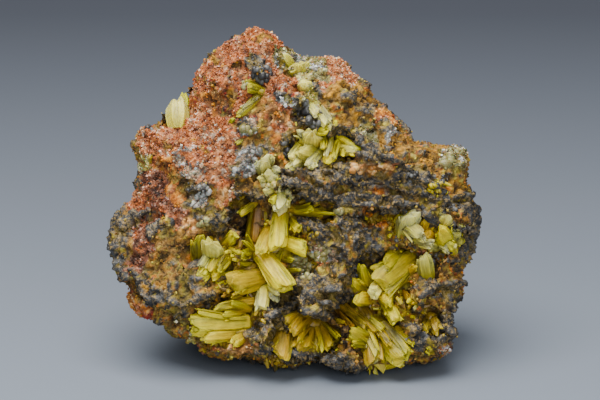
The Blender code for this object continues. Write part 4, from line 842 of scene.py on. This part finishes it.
def kinds_at(points):
    """Which kind of surface covers each place: strokes in front, patches on the back."""
    across, up, depth = to_front(points)
    warp_x = fractal(points, 3.2, 3, (11.0, 0.0, 0.0))
    warp_y = fractal(points, 3.2, 3, (0.0, 17.0, 0.0))
    across = across + 1.1 * warp_x
    up = up + 1.1 * warp_y
    kind = np.full(len(points), NUMBER["ochre"])
    for name, path, half_width in ZONES:
        kind[path_distance(across, up, path) < half_width] = NUMBER[name]
    broad = fractal(points, 11.0, 3, (3.0, 3.0, 3.0))
    narrow = fractal(points, 6.0, 3, (5.0, 9.0, 1.0))
    behind = np.full(len(points), NUMBER["ochre"])
    behind[narrow > 0.28] = NUMBER["rust"]
    behind[narrow < -0.34] = NUMBER["olive"]
    behind[broad > 0.16] = NUMBER["black"]
    behind[broad < -0.50] = NUMBER["red"]
    lined = np.isin(kind, [NUMBER[name] for name in DULL_KINDS])
    for path, half_width, deep in HOLLOWS:
        near = path_distance(across, up, path) < half_width * 0.95
        kind[lined & near & (deep > 2.5)] = NUMBER["honey"]
    far = depth - edge_depth(up) > 1.5 + 3.0 * warp_x
    kind = np.where(far, behind, kind)
    covered = kind.copy()
    spots = fractal(points, 2.8, 2, (21.0, 2.0, 2.0))
    order = np.argsort(np.argsort(spots)) / len(spots)
    for name, others in MIXED.items():
        top = 1.0
        for other, share in others:
            patch = (covered == NUMBER[name]) & (order <= top) & (order > top - share)
            kind[patch] = NUMBER[other]
            top -= share
    return kind


def tones_at(points, kind, height=None):
    """The colour of each place in linear light, from its kind's tones and noise.

    Where the heights are given, the accent of the dark crust lies in its low places.
    """
    wave = fractal(points, 1.3, 3, (1.0, 5.0, 2.0)) * 1.5
    dice = np.random.default_rng(5)
    wave = np.clip(wave + dice.normal(0.0, 0.10, len(points)), -1.0, 1.0)[:, None]
    spots = fractal(points, 1.1, 2, (9.0, 4.0, 4.0)) + dice.normal(0.0, 0.05, len(points))
    table = [srgb(np.array(KINDS[name][0:4]), ROCK_DEPTH) * ROCK_LIGHT for name in KIND_NAMES]
    dark, middle, light, accent = [np.array([tones[n] for tones in table])[kind] for n in range(4)]
    tone = np.where(wave < 0.0, middle + (dark - middle) * -wave, middle + (light - middle) * wave)
    share = np.array([KINDS[name][4] for name in KIND_NAMES])[kind]
    order = np.argsort(np.argsort(spots)) / len(spots)
    if height is not None:
        dark = kind == NUMBER["black"]
        low = 0.25 * spots[dark] - height[dark]
        order[dark] = np.argsort(np.argsort(low)) / max(1, dark.sum())
    tone = np.where((order > 1.0 - share)[:, None], accent, tone)
    broad = fractal(points, 7.0, 2, (2.0, 2.0, 8.0))[:, None]
    return tone * (1.0 + 0.22 * broad)


def add_tint(mesh, tones, domain="POINT"):
    """Store colours on the vertices, or on the corners of the faces."""
    layer = mesh.attributes.new("tint", "FLOAT_COLOR", domain)
    values = np.ones((len(tones), 4))
    values[:, 0:3] = np.clip(tones, 0.0, 1.0)
    layer.data.foreach_set("color", values.ravel())


def add_strand(mesh, values):
    """Store where each corner lies across and along its crystal, for the striation."""
    layer = mesh.attributes.new("strand", "FLOAT_VECTOR", "CORNER")
    layer.data.foreach_set("vector", np.array(values, dtype=float).ravel())


def add_number(mesh, name, values):
    """Store one number on each vertex."""
    layer = mesh.attributes.new(name, "FLOAT", "POINT")
    layer.data.foreach_set("value", np.asarray(values, dtype=float))


def make_room(points):
    """Press the front back under each crystal, so that the crystal lies open."""
    across, up, depth = to_front(points)
    lift = front_depth(across, up) - depth
    for _, _, crystals, _ in GROUPS.values():
        for row in crystals:
            run_x = row[3] - row[0]
            run_y = row[4] - row[1]
            share = ((across - row[0]) * run_x + (up - row[1]) * run_y) / (run_x ** 2 + run_y ** 2)
            share = np.clip(share, 0.0, 1.05)
            gap = np.hypot(across - row[0] - share * run_x, up - row[1] - share * run_y)
            half = row[6] + (row[7] - row[6]) * share
            allowed = row[2] + (row[5] - row[2]) * share - 0.25 * half * row[8]
            close = 1.0 - smoothstep(0.2, 1.3, gap - half)
            over = np.maximum(lift - allowed, 0.0) * close * smoothstep(0.0, 0.3, share)
            lift -= np.where(over < ROOM_LIMIT, over, 0.0)
    depth = front_depth(across, up) - lift
    return np.column_stack(to_world(across, up, depth))


def ribs(points):
    """Ribs that run down to the right, as the black crust has: about -1 to 1."""
    across, up, depth = to_front(points)
    slope = math.radians(-24.0)
    along = across * math.cos(slope) + up * math.sin(slope)
    over = up * math.cos(slope) - across * math.sin(slope)
    stretched = np.column_stack((along / 4.0, over, depth / 2.0))
    return 0.6 - 2.0 * np.abs(fractal(stretched, 2.0, 3, (5.0, 5.0, 5.0)))


def ledges(points):
    """The thin ledges of the crust: how far each stands out, and the groove below it, cut in and
    painted as shadow.
    """
    across, up, depth = to_front(points)
    across = across + 0.5 * fractal(points, 2.2, 2, (3.0, 0.0, 5.0))
    up = up + 0.5 * fractal(points, 2.2, 2, (0.0, 3.0, 5.0))
    height = np.zeros(len(points))
    groove = np.zeros(len(points))
    front = smoothstep(2.0, 6.0, edge_depth(up) - depth)
    for path, half_width, high in LEDGES:
        share = 1.0 - smoothstep(0.4, 1.2, path_distance(across, up, path) / half_width)
        height = np.maximum(height, high * share)
        under = [(x, y - 1.5 * half_width) for x, y in path]
        share = 1.0 - smoothstep(0.1, 0.9, path_distance(across, up, under) / half_width)
        groove = np.maximum(groove, share)
    return height * front, groove * front


def make_rock():
    """The rock's surface with the small relief, the colour of each kind, and painted shade in its low
    places, cracks, grooves and pits.
    """
    rock = rock_skin()
    mesh = rock.data
    points = make_room(mesh_points(mesh))
    set_points(mesh, points)
    kind = kinds_at(points)
    ledge, groove = ledges(points)
    kind[ledge > LEDGE_EDGE] = NUMBER["black"]
    out, lumpy, knobbly, size, pitted = [
        np.array([RELIEF[name][n] for name in KIND_NAMES])[kind] for n in range(5)]
    push = out + lumpy * fractal(points, 1.6, 3, (4.0, 4.0, 4.0)) - SKIN_INSET + ledge
    push += np.where(kind == NUMBER["black"], 0.9 * ribs(points), 0.0)
    push += 1.0 * fractal(points, 4.8, 2, (31.0, 7.0, 3.0))
    crack = 1.0 - smoothstep(0.0, 0.08, np.abs(fractal(points, 5.2, 3, (1.0, 13.0, 6.0))))
    split = 1.0 - smoothstep(0.0, 0.07, np.abs(fractal(points, 2.8, 2, (14.0, 1.0, 6.0))))
    gash = np.maximum(np.maximum(crack, 0.6 * split), groove)
    push -= 0.8 * gash
    small = nodules(points, 1.2, (6.0, 1.0, 2.0))
    large = nodules(points, 1.8, (2.0, 6.0, 2.0))
    heads = np.where(size > 1.55, large, small)
    push += knobbly * (heads - 0.5)
    holes = smoothstep(0.25, 0.6, fractal(points, 2.6, 2, (8.0, 8.0, 3.0)))
    push -= pitted * holes * 2.0
    points += mesh_normals(mesh) * push[:, None]
    points[:, 2] = np.maximum(points[:, 2], 0.0)
    set_points(mesh, points)
    # Painted shade: the stored colour is darkened in low places of the relief, in cracks, in the
    # grooves under the ledges and in pits, and raised places are slightly lightened.
    cavity = smoothstep(-0.7, 0.45, push - out + SKIN_INSET)
    painted_shade = (0.46 + 0.62 * cavity) * (1.0 - 0.55 * gash) * (1.0 - 0.5 * holes * (pitted > 0.2))
    add_tint(mesh, tones_at(points, kind, push) * painted_shade[:, None])
    shine = np.array([KINDS[name][5] for name in KIND_NAMES])[kind]
    add_number(mesh, "coarse", shine)
    add_number(mesh, "dust", np.array([DUSTY.get(name, 0.25) for name in KIND_NAMES])[kind])
    mesh.shade_smooth()
    return rock, kind


def front_place(across, up, lift):
    """A place on the front, lifted towards the viewer, in the model's axes and metres."""
    depth = float(front_depth(np.array(across), np.array(up))) - lift
    return Vector(to_world(across, up, depth)) * MM


def sight_direction():
    """The direction from the specimen to the viewer."""
    return Vector((0.0, -math.cos(SIGHT_ELEVATION), math.sin(SIGHT_ELEVATION)))


def blade_mesh(axis, half, tones, dice, profile="tongue"):
    """One striated six-sided blade with an uneven end, tinted in streaks along its length.

    axis is its root, tip, side direction and front direction; half is its half width at the
    root and at the tip and its thickness as a share of the width; tones are root and tip.
    """
    root, tip, side, front = axis
    along = (tip - root).normalized()
    length = (tip - root).length
    per_side = 1 if half[1] < 0.9 * MM else 2
    roll = dice.uniform(-0.22, 0.22)
    slant = dice.uniform(-0.7, 0.7)
    bend = (0.04 * length * dice.uniform(-1.0, 1.0), 0.04 * length * dice.uniform(-1.0, 1.0))
    outline = []
    streaks = []
    ends = []
    for corner in range(6):
        start = math.radians(60.0 * corner)
        finish = math.radians(60.0 * (corner + 1))
        face_tone = dice.uniform(0.94, 1.05)
        for step in range(per_side):
            share = step / per_side
            groove = 1.0 - dice.uniform(0.0, 0.05) * (step > 0)
            x = math.cos(start) * (1.0 - share) + math.cos(finish) * share
            y = math.sin(start) * (1.0 - share) + math.sin(finish) * share
            outline.append(((x * math.cos(roll) - y * math.sin(roll)) * groove,
                            (x * math.sin(roll) + y * math.cos(roll)) * groove))
            streaks.append(face_tone * dice.uniform(0.9, 1.08))
            ends.append((slant * x + dice.uniform(-0.36, 0.36)) * half[1])
    count = len(outline)
    points = []
    shares = []
    rings = BLADE_RINGS[profile]
    for share, wide in rings:
        painted_falloff = float(smoothstep(0.6, 1.0, share))
        breadth = (half[0] + (half[1] - half[0]) * share) * wide
        for column, (x, y) in enumerate(outline):
            spot = root + along * (length * share + ends[column] * painted_falloff)
            spot += (side * bend[0] + front * bend[1]) * math.sin(math.pi * share)
            points.append(spot + side * x * breadth + front * y * breadth * half[2])
            shares.append(share)
    last = (len(rings) - 1) * count
    points.append(tip + along * dice.uniform(0.0, 0.35) * half[1])
    shares.append(1.0)
    points.append(root)
    shares.append(0.0)
    faces = []
    for ring in range(len(rings) - 1):
        for column in range(count):
            following = (column + 1) % count
            low = ring * count
            faces.append([low + column, low + following, low + count + following])
            faces.append([low + column, low + count + following, low + count + column])
    for column in range(count):
        following = (column + 1) % count
        faces.append([last + column, last + following, last + count])
        faces.append([following, column, last + count + 1])
    mesh = bpy.data.meshes.new("blade")
    mesh.from_pydata(points, [], faces)
    lane = dice.uniform(0.0, 900.0)
    lanes = [lane + column * 2.0 * (half[0] + half[1]) / (MM * count) for column in range(count)]
    colours = []
    strands = []
    for face in faces:
        streak = streaks[min(face) % count]
        columns = [corner % count for corner in face]
        turn = count if max(columns) - min(columns) > 1 else 0
        for corner, column in zip(face, columns):
            share = shares[corner]
            # The colour darkens towards the root: painted shade deep in the hollow, with a real change
            # of hue.
            colours.append((tones[0] + (tones[1] - tones[0]) * share ** 2) * streak)
            across = lanes[column] + (lanes[1] - lanes[0]) * turn * (column == 0)
            strands.append((across * STRANDS_ACROSS, share * length / MM * STRANDS_ALONG, lane))
    add_tint(mesh, np.array(colours), "CORNER")
    add_strand(mesh, strands)
    return mesh


def crystal_blades(row, dice, target, barrel=False):
    """One crystal: a wide blade with smaller ones grown along it, ending at unequal lengths."""
    root = front_place(*row[0:3])
    tip = front_place(*row[3:6])
    root_half, tip_half, thickness = row[6] * MM, row[7] * MM, row[8]
    along = tip - root
    side = along.cross(sight_direction()).normalized()
    front = side.cross(along).normalized()
    tones = [srgb(tone, CRYSTAL_DEPTH) for tone in CRYSTAL_TONES[row[9]]]
    profile = "barrel" if barrel else "blunt" if row[7] > 1.1 * row[6] else "tongue"
    half = (max(root_half, 0.8 * tip_half), tip_half, thickness * 0.85)
    target.append(blade_mesh((root, root + along * 0.97, side, front), half, tones, dice, profile))
    if barrel:
        return
    count = max(2, round(row[7] * STEPS_PER_WIDTH))
    for number in range(count):
        x = ((number + 0.5) / count * 2.0 - 1.0) * 0.7 + dice.uniform(-0.15, 0.15)
        y = dice.uniform(0.0, 0.22) * (1.0 - 0.5 * abs(x))
        narrow = dice.uniform(0.9, 1.5) / count
        start = dice.uniform(-0.05, 0.4)
        end = dice.uniform(0.72, 1.05)
        sway = dice.uniform(-0.15, 0.15)
        base = root + along * start + side * x * root_half + front * y * root_half * thickness
        peak = root + along * end + side * (x + sway) * tip_half
        peak += front * y * tip_half * thickness
        half = (tip_half * narrow, tip_half * narrow * 0.85, thickness * dice.uniform(0.7, 1.0))
        tint = [tone * dice.uniform(0.92, 1.1) for tone in tones]
        target.append(blade_mesh((base, peak, side, front), half, tint, dice, profile))
    for number in range(1 + round(row[7])):
        x = dice.choice((-1.0, 1.0)) * dice.uniform(0.4, 1.0)
        base = root + along * dice.uniform(0.1, 0.6) + side * x * 0.6 * root_half
        peak = root + along * dice.uniform(0.7, 1.06) + side * x * dice.uniform(0.9, 1.35) * tip_half
        peak += front * dice.uniform(-0.2, 0.6) * tip_half * thickness
        half = (dice.uniform(0.2, 0.4) * MM, dice.uniform(0.12, 0.3) * MM, 0.8)
        target.append(blade_mesh((base, peak, side, front), half, tones, dice))


def ground_mesh(row, tone):
    """The ground mass that joins a group's crystals."""
    centre = front_place(*row[0:3])
    mesh = ball_mesh("ground", 3)
    points = mesh_points(mesh) * np.array(row[3:6])
    tilt = np.array(Matrix.Rotation(0.5 * math.pi - SIGHT_ELEVATION, 3, "X"))
    points = points @ tilt.T + np.array(centre) / MM
    points += mesh_normals(mesh) * 0.5 * fractal(points, 1.5, 2)[:, None]
    set_points(mesh, points)
    add_tint(mesh, np.tile(tone, (len(mesh.loops), 1)), "CORNER")
    spots = points[np.array([loop.vertex_index for loop in mesh.loops])]
    add_strand(mesh, spots * STRANDS_ALONG * 4.0)
    return mesh


def ground_tone(tone_name):
    """The colour of a group's ground mass: between the tones of its crystals, but darker."""
    root, tip = [srgb(tone, CRYSTAL_DEPTH) for tone in CRYSTAL_TONES[tone_name]]
    return 0.35 * (root + tip)


def make_group(name, seed):
    """One crystal group: rods and ground mass united in one skin."""
    tone_name, ground, crystals, small = GROUPS[name]
    dice = random.Random(seed)
    rods = []
    for row in crystals:
        crystal_blades(row, dice, rods, name in ROUNDED_GROUPS)
    for row in small:
        crystal_blades(row, dice, rods)
    loose = bpy.data.collections.new(name + "_rods")
    bpy.context.scene.collection.children.link(loose)
    for number, rod in enumerate(rods):
        loose.objects.link(bpy.data.objects.new(f"rod_{number}", rod))
    body = new_object(name + "_bundles", ground_mesh(ground, ground_tone(tone_name)))
    join = body.modifiers.new("grown_together", "BOOLEAN")
    join.operation = "UNION"
    join.solver = "MANIFOLD"
    join.operand_type = "COLLECTION"
    join.collection = loose
    weld = body.modifiers.new("no_slivers", "WELD")
    weld.merge_threshold = SLIVER * MM
    bake(body)
    for rod in list(loose.objects):
        bpy.data.objects.remove(rod, do_unlink=True)
    bpy.data.collections.remove(loose)
    body.data.shade_smooth()
    body.data.set_sharp_from_angle(angle=SHARP_ANGLE)
    return body


def join_copies(name, form, points, tones):
    """Join copies of a small form in one piece: where each one's corners are, and its tone."""
    corners = np.array([list(face.vertices) for face in form.polygons])
    count, size = points.shape[0:2]
    faces = corners[None, :, :] + (np.arange(count) * size)[:, None, None]
    flat = points.reshape(-1, 3)
    flat[:, 2] = np.maximum(flat[:, 2], 0.0)
    mesh = bpy.data.meshes.new(name)
    mesh.from_pydata((flat * MM).tolist(), [], faces.reshape(-1, corners.shape[1]).tolist())
    add_tint(mesh, np.repeat(tones, size, axis=0))
    bpy.data.meshes.remove(form)
    return new_object(name, mesh)


def scatter(name, form, spots, normals, sizes, tones, seed, spread, lean):
    """Join copies of a small form, one at each spot, turned at random and partly sunk in."""
    dice = np.random.default_rng(seed)
    count = len(spots)
    turns = dice.normal(size=(count, 4))
    turns /= np.linalg.norm(turns, axis=1)[:, None]
    w, x, y, z = turns.T
    rotation = np.array([
        [1 - 2 * (y * y + z * z), 2 * (x * y - z * w), 2 * (x * z + y * w)],
        [2 * (x * y + z * w), 1 - 2 * (x * x + z * z), 2 * (y * z - x * w)],
        [2 * (x * z - y * w), 2 * (y * z + x * w), 1 - 2 * (x * x + y * y)],
    ]).transpose(2, 0, 1)
    stretch = dice.uniform(1.0 - spread, 1.0 + spread, (count, 3)) * sizes[:, None]
    local = mesh_points(form)[None, :, :] * stretch[:, None, :]
    points = np.einsum("nij,nkj->nki", rotation, local)
    points += (spots + normals * (sizes * lean)[:, None])[:, None, :]
    return join_copies(name, form, points, tones)


def prism_form():
    """A six-sided prism 1 mm in radius and 2 mm long, with a blunt point."""
    form = bmesh.new()
    bmesh.ops.create_cone(form, cap_ends=True, segments=6, radius1=MM, radius2=MM, depth=2.0 * MM)
    for vert in form.verts:
        if vert.co.z > 0.0:
            vert.co.x *= PRISM_TOP
            vert.co.y *= PRISM_TOP
    bmesh.ops.triangulate(form, faces=form.faces)
    return mesh_of(form, "prism_grain")


def block_form():
    """A cube of half size 1 mm cut into triangles."""
    form = bmesh.new()
    bmesh.ops.create_cube(form, size=2.0 * MM)
    bmesh.ops.triangulate(form, faces=form.faces)
    return mesh_of(form, "block_grain")


def pick_spots(rock, kind, wanted, count, seed):
    """Choose places on the rock's surface where it is of one of the wanted kinds."""
    dice = np.random.default_rng(seed)
    points = mesh_points(rock.data)
    normals = mesh_normals(rock.data)
    numbers = [NUMBER[name] for name in wanted]
    able = np.flatnonzero(np.isin(kind, numbers) & (points[:, 2] > 1.0))
    chosen = dice.choice(able, min(count, len(able)), replace=False)
    jitter = dice.normal(0.0, 0.12, (len(chosen), 3))
    return points[chosen] + jitter, normals[chosen], chosen


def make_grains(name, form, rock, kind, wanted, count, size, seed, spread, lean):
    """Scatter grains over some kinds of surface, each in a tone of the kind below it."""
    spots, normals, chosen = pick_spots(rock, kind, wanted, count, seed)
    dice = np.random.default_rng(seed + 100)
    sizes = dice.uniform(size[0], size[1], len(spots))
    tones = tones_at(spots, kind[chosen]) * dice.uniform(0.65, 1.2, (len(spots), 1))
    return scatter(name, form, spots, normals, sizes, tones, seed + 200, spread, lean)


def grow_druse(name, rock, kind, wanted, count, radius, slim, seed):
    """Small prisms that stand on some kinds of surface, leaning every way."""
    spots, normals, chosen = pick_spots(rock, kind, wanted, count, seed)
    dice = np.random.default_rng(seed + 100)
    heading = normals + dice.normal(0.0, 0.55, normals.shape)
    heading /= np.linalg.norm(heading, axis=1)[:, None]
    other = np.cross(heading, dice.normal(size=heading.shape))
    other /= np.linalg.norm(other, axis=1)[:, None]
    third = np.cross(heading, other)
    thick = dice.uniform(radius[0], radius[1], len(spots))
    long = thick * dice.uniform(slim[0], slim[1], len(spots))
    form = prism_form()
    shape = mesh_points(form)
    points = spots[:, None, :] + heading[:, None, :] * (long[:, None] * (shape[:, 2] + 0.7))[:, :, None]
    points += other[:, None, :] * (thick[:, None] * shape[:, 0])[:, :, None]
    points += third[:, None, :] * (thick[:, None] * shape[:, 1])[:, :, None]
    table = [srgb(np.array(KINDS[kind_name][1:4]), CRYSTAL_DEPTH) for kind_name in KIND_NAMES]
    picks = np.array(table)[kind[chosen]]
    tones = picks[np.arange(len(spots)), dice.integers(0, 3, len(spots))]
    tones = tones * dice.uniform(0.5, 0.95, (len(spots), 1))
    return join_copies(name, form, points, tones)


def nodule_points(rock, clusters):
    """Heads of some clusters set on the rock: places, normals, radii and tones."""
    tree = BVHTree.FromObject(rock, bpy.context.evaluated_depsgraph_get())
    dice = np.random.default_rng(31)
    spots, normals, sizes, tones = [], [], [], []
    for kind_name, across, up, reach, count, radius in clusters:
        table = srgb(np.array(KINDS[kind_name][0:3]), ROCK_DEPTH) * ROCK_LIGHT
        for number in range(2 * count):
            angle = dice.uniform(0.0, 2.0 * math.pi)
            away = reach * math.sqrt(dice.uniform(0.0, 1.0))
            start = front_place(across + away * math.cos(angle), up + away * math.sin(angle), 30.0)
            hit, normal, _, _ = tree.ray_cast(start, -sight_direction())
            if hit is None:
                continue
            spots.append(np.array(hit) / MM)
            normals.append(np.array(normal))
            sizes.append(radius * dice.uniform(0.4, 0.85))
            tones.append(table[dice.integers(1, 3)] * dice.uniform(0.7, 1.05))
    return np.array(spots), np.array(normals), np.array(sizes), np.array(tones)


def make_nodules(name, rock, glossy):
    """The rounded lumps as one piece: the dark ones, or the clear and pale ones."""
    wanted = [row for row in NODULES if (row[0] == "black") != glossy]
    spots, normals, sizes, tones = nodule_points(rock, wanted)
    form = ball_mesh("nodule", 2)
    points = mesh_points(form)
    set_points(form, points * (1.0 + 0.25 * fractal(points, 0.9, 2)[:, None]))
    return scatter(name, form, spots, normals, sizes, tones, 41, 0.3, -0.15)


def new_material(name, **values):
    """A material, the parts of its node tree, and its shader with some values set."""
    material = bpy.data.materials.new(name)
    material.use_nodes = True
    shader = material.node_tree.nodes["Principled BSDF"]
    for socket, value in values.items():
        shader.inputs[socket.replace("_", " ")].default_value = value
    return material, material.node_tree.nodes, material.node_tree.links, shader


def stored(nodes, name):
    """The node that reads what is stored on the mesh under a name."""
    node = nodes.new("ShaderNodeAttribute")
    node.attribute_name = name
    return node


def fine_noise(nodes, links, scale, detail):
    """Noise laid over the piece, with its number of grains in a metre and its detail."""
    place = nodes.new("ShaderNodeTexCoord")
    grain = nodes.new("ShaderNodeTexNoise")
    grain.inputs["Scale"].default_value = scale
    grain.inputs["Detail"].default_value = detail
    links.new(place.outputs["Object"], grain.inputs["Vector"])
    return grain


def stretched(nodes, links, value, before, after=(0.0, 1.0)):
    """Carry a value from one range over to another."""
    node = nodes.new("ShaderNodeMapRange")
    for socket, number in zip(("From Min", "From Max", "To Min", "To Max"), before + after):
        node.inputs[socket].default_value = number
    links.new(value, node.inputs["Value"])
    return node.outputs["Result"]


def multiplied(nodes, links, colour, amount):
    """A colour made lighter or darker by an amount."""
    mix = nodes.new("ShaderNodeMix")
    mix.data_type = "RGBA"
    mix.blend_type = "MULTIPLY"
    mix.inputs["Factor"].default_value = 1.0
    links.new(colour, mix.inputs["A"])
    links.new(amount, mix.inputs["B"])
    return mix.outputs["Result"]


def speckle(nodes, links, colour, scale, low, high):
    """Vary a colour's brightness with fine noise."""
    grain = fine_noise(nodes, links, scale, 4.0)
    amount = stretched(nodes, links, grain.outputs["Fac"], NOISE_RANGE, (low, high))
    return multiplied(nodes, links, colour, amount)


def add_relief(nodes, links, shader, layers):
    """Fine relief from noise of several sizes: scale and height in metres of each."""
    before = None
    for scale, height in layers:
        grain = fine_noise(nodes, links, scale, 4.0)
        bump = nodes.new("ShaderNodeBump")
        bump.inputs["Strength"].default_value = 0.9
        bump.inputs["Distance"].default_value = height
        links.new(grain.outputs["Fac"], bump.inputs["Height"])
        if before:
            links.new(before.outputs["Normal"], bump.inputs["Normal"])
        before = bump
    links.new(before.outputs["Normal"], shader.inputs["Normal"])


def dusting(nodes, links, colour, scale, edges, amount):
    """Lay golden dust over a colour where noise is high; the amount is a number or a socket."""
    cloud = fine_noise(nodes, links, scale, 5.0)
    cloud.inputs["Roughness"].default_value = 0.7
    share = nodes.new("ShaderNodeMath")
    share.operation = "MULTIPLY"
    dusty = nodes.new("ShaderNodeMix")
    dusty.data_type = "RGBA"
    dusty.inputs["B"].default_value = (*DUST_COLOUR, 1.0)
    if isinstance(amount, float):
        share.inputs[1].default_value = amount
    else:
        links.new(amount, share.inputs[1])
    links.new(stretched(nodes, links, cloud.outputs["Fac"], edges), share.inputs[0])
    links.new(share.outputs["Value"], dusty.inputs["Factor"])
    links.new(colour, dusty.inputs["A"])
    return dusty.outputs["Result"]


def rock_material():
    """Earthy rock: stored colours, speckle of two sizes, golden dust, roughness by kind."""
    material, nodes, links, shader = new_material("rock_surface")
    colour = speckle(nodes, links, stored(nodes, "tint").outputs["Color"], 2600.0, 0.70, 1.30)
    colour = speckle(nodes, links, colour, 900.0, 0.70, 1.26)
    dust = stored(nodes, "dust").outputs["Fac"]
    colour = dusting(nodes, links, colour, 1300.0, (0.51, 0.61), dust)
    links.new(colour, shader.inputs["Base Color"])
    links.new(stored(nodes, "coarse").outputs["Fac"], shader.inputs["Roughness"])
    add_relief(nodes, links, shader, ((1000.0, 0.0008), (3200.0, 0.00025)))
    return material


def grain_material(name, roughness, glow):
    """Small grains: stored colours, with light passing a little way in."""
    material, nodes, links, shader = new_material(
        name, Roughness=roughness, Subsurface_Weight=glow, Subsurface_Scale=0.0005)
    colour = speckle(nodes, links, stored(nodes, "tint").outputs["Color"], 2000.0, 0.85, 1.15)
    links.new(colour, shader.inputs["Base Color"])
    return material


def crystal_material():
    """Resinous crystal: light spreads inside it, and fine ribs run along it."""
    material, nodes, links, shader = new_material(
        "pyromorphite_crystal", Roughness=0.40, IOR=1.5, Specular_IOR_Level=0.35,
        Subsurface_Weight=0.8, Subsurface_Radius=GLOW_RADIUS, Subsurface_Scale=0.0026)
    colour = speckle(nodes, links, stored(nodes, "tint").outputs["Color"], 900.0, 0.86, 1.14)
    streaks = nodes.new("ShaderNodeTexNoise")
    streaks.inputs["Scale"].default_value = 1.0
    streaks.inputs["Detail"].default_value = 3.0
    bump = nodes.new("ShaderNodeBump")
    bump.inputs["Strength"].default_value = 0.85
    bump.inputs["Distance"].default_value = 0.0003
    links.new(stored(nodes, "strand").outputs["Vector"], streaks.inputs["Vector"])
    links.new(streaks.outputs["Fac"], bump.inputs["Height"])
    amount = stretched(nodes, links, streaks.outputs["Fac"], NOISE_RANGE, (0.68, 1.26))
    colour = multiplied(nodes, links, colour, amount)
    colour = dusting(nodes, links, colour, 600.0, (0.58, 0.72), 0.6)
    links.new(colour, shader.inputs["Base Color"])
    links.new(bump.outputs["Normal"], shader.inputs["Normal"])
    return material


def druse_material():
    """Small crystals of the same kind, without the ribs."""
    material, nodes, links, shader = new_material(
        "yellow_druse", Roughness=0.45, Subsurface_Weight=0.7, Subsurface_Radius=GLOW_RADIUS,
        Subsurface_Scale=0.0010)
    colour = speckle(nodes, links, stored(nodes, "tint").outputs["Color"], 900.0, 0.8, 1.2)
    links.new(colour, shader.inputs["Base Color"])
    return material


def dress(thing, material, slot, *nodes):
    """Give a piece its material, attach it to the root and hide the nodes it stands for; the slot is
    not used.
    """
    thing.data.materials.clear()
    thing.data.materials.append(material)
    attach(thing, "root")
    if nodes:
        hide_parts(*nodes)


def make_floor():
    """A wide pale floor, painted darker with distance as a fall-off of the light."""
    form = bmesh.new()
    bmesh.ops.create_grid(form, x_segments=1, y_segments=1, size=2.0)
    floor = new_object("studio_floor", mesh_of(form, "studio_floor"))
    material, nodes, links, shader = new_material("floor", Roughness=0.6)
    place = nodes.new("ShaderNodeTexCoord")
    split = nodes.new("ShaderNodeSeparateXYZ")
    tone = nodes.new("ShaderNodeMix")
    tone.data_type = "RGBA"
    tone.inputs["A"].default_value = (*FLOOR_NEAR, 1.0)
    tone.inputs["B"].default_value = (*FLOOR_FAR_SHADED, 1.0)
    links.new(place.outputs["Object"], split.inputs["Vector"])
    # Painted fall-off of light: the floor is darker far away.
    painted_falloff = stretched(nodes, links, split.outputs["Y"], (-0.10, 0.36))
    links.new(painted_falloff, tone.inputs["Factor"])
    links.new(tone.outputs["Result"], shader.inputs["Base Color"])
    floor.data.materials.append(material)


def area_light(name, place, aim, size, power, colour):
    """A soft square light."""
    lamp = bpy.data.lights.new(name, "AREA")
    lamp.shape = "SQUARE"
    lamp.size = size
    lamp.energy = power
    lamp.color = colour
    thing = bpy.data.objects.new(name, lamp)
    bpy.context.scene.collection.objects.link(thing)
    thing.location = place
    thing.rotation_euler = (Vector(aim) - Vector(place)).to_track_quat("-Z", "Y").to_euler()


def make_lights():
    """A large soft light from the upper left, a weaker one from the right, a dim world."""
    aim = (0.0, 0.0, 0.03)
    area_light("key", (-0.08, -0.10, 0.50), aim, 0.44, 6.9, (1.0, 0.98, 0.94))
    area_light("fill", (0.10, -0.60, 0.20), aim, 0.40, 2.6, (0.97, 0.98, 1.0))
    world = bpy.data.worlds.new("studio")
    world.use_nodes = True
    back = world.node_tree.nodes["Background"]
    back.inputs["Color"].default_value = (0.75, 0.80, 0.88, 1.0)
    back.inputs["Strength"].default_value = 0.30
    bpy.context.scene.world = world


def make_camera():
    """A long lens at the picture's angle, aimed at the middle of the picture."""
    lens = bpy.data.cameras.new("camera")
    lens.sensor_width = 36.0
    lens.lens = 180.0
    lens.clip_start = 0.01
    camera = bpy.data.objects.new("camera", lens)
    bpy.context.scene.collection.objects.link(camera)
    sine = math.sin(SIGHT_ELEVATION)
    cosine = math.cos(SIGHT_ELEVATION)
    middle = Vector((SIGHT_AIM[0], SIGHT_AIM[1] * sine, SIGHT_AIM[1] * cosine)) * MM
    camera.location = middle + sight_direction() * SIGHT_DISTANCE * MM
    camera.rotation_euler = (math.radians(90.0) - SIGHT_ELEVATION, 0.0, 0.0)
    bpy.context.scene.camera = camera


def main():
    """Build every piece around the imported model."""
    rock, kind = make_rock()
    dress(rock, rock_material(), "rock", "rock_matrix")
    for name, (round_form, wanted, *settings, roughness, glow) in GRAINS.items():
        form = ball_mesh("head", 1) if round_form else block_form()
        grains = make_grains(name, form, rock, kind, wanted, *settings)
        if round_form:
            grains.data.shade_smooth()
        dress(grains, grain_material(name, roughness, glow), "rock")
    yellow = grow_druse("yellow_druse", rock, kind, ["honey", "lime"], 1300,
                        (0.20, 0.60), (0.7, 1.8), 5)
    dress(yellow, druse_material(), "rock")
    for name, glossy, roughness, glow in (("dark_nodules", False, 0.4, 0.0),
                                          ("clear_nodules", True, 0.35, 0.3)):
        lumps = make_nodules(name, rock, glossy)
        lumps.data.shade_smooth()
        dress(lumps, grain_material(name, roughness, glow), "rock")
    crystal = crystal_material()
    for seed, name in enumerate(GROUPS):
        body = make_group(name, seed)
        dress(body, crystal, name, name)
    make_floor()
    make_lights()
    make_camera()


main()
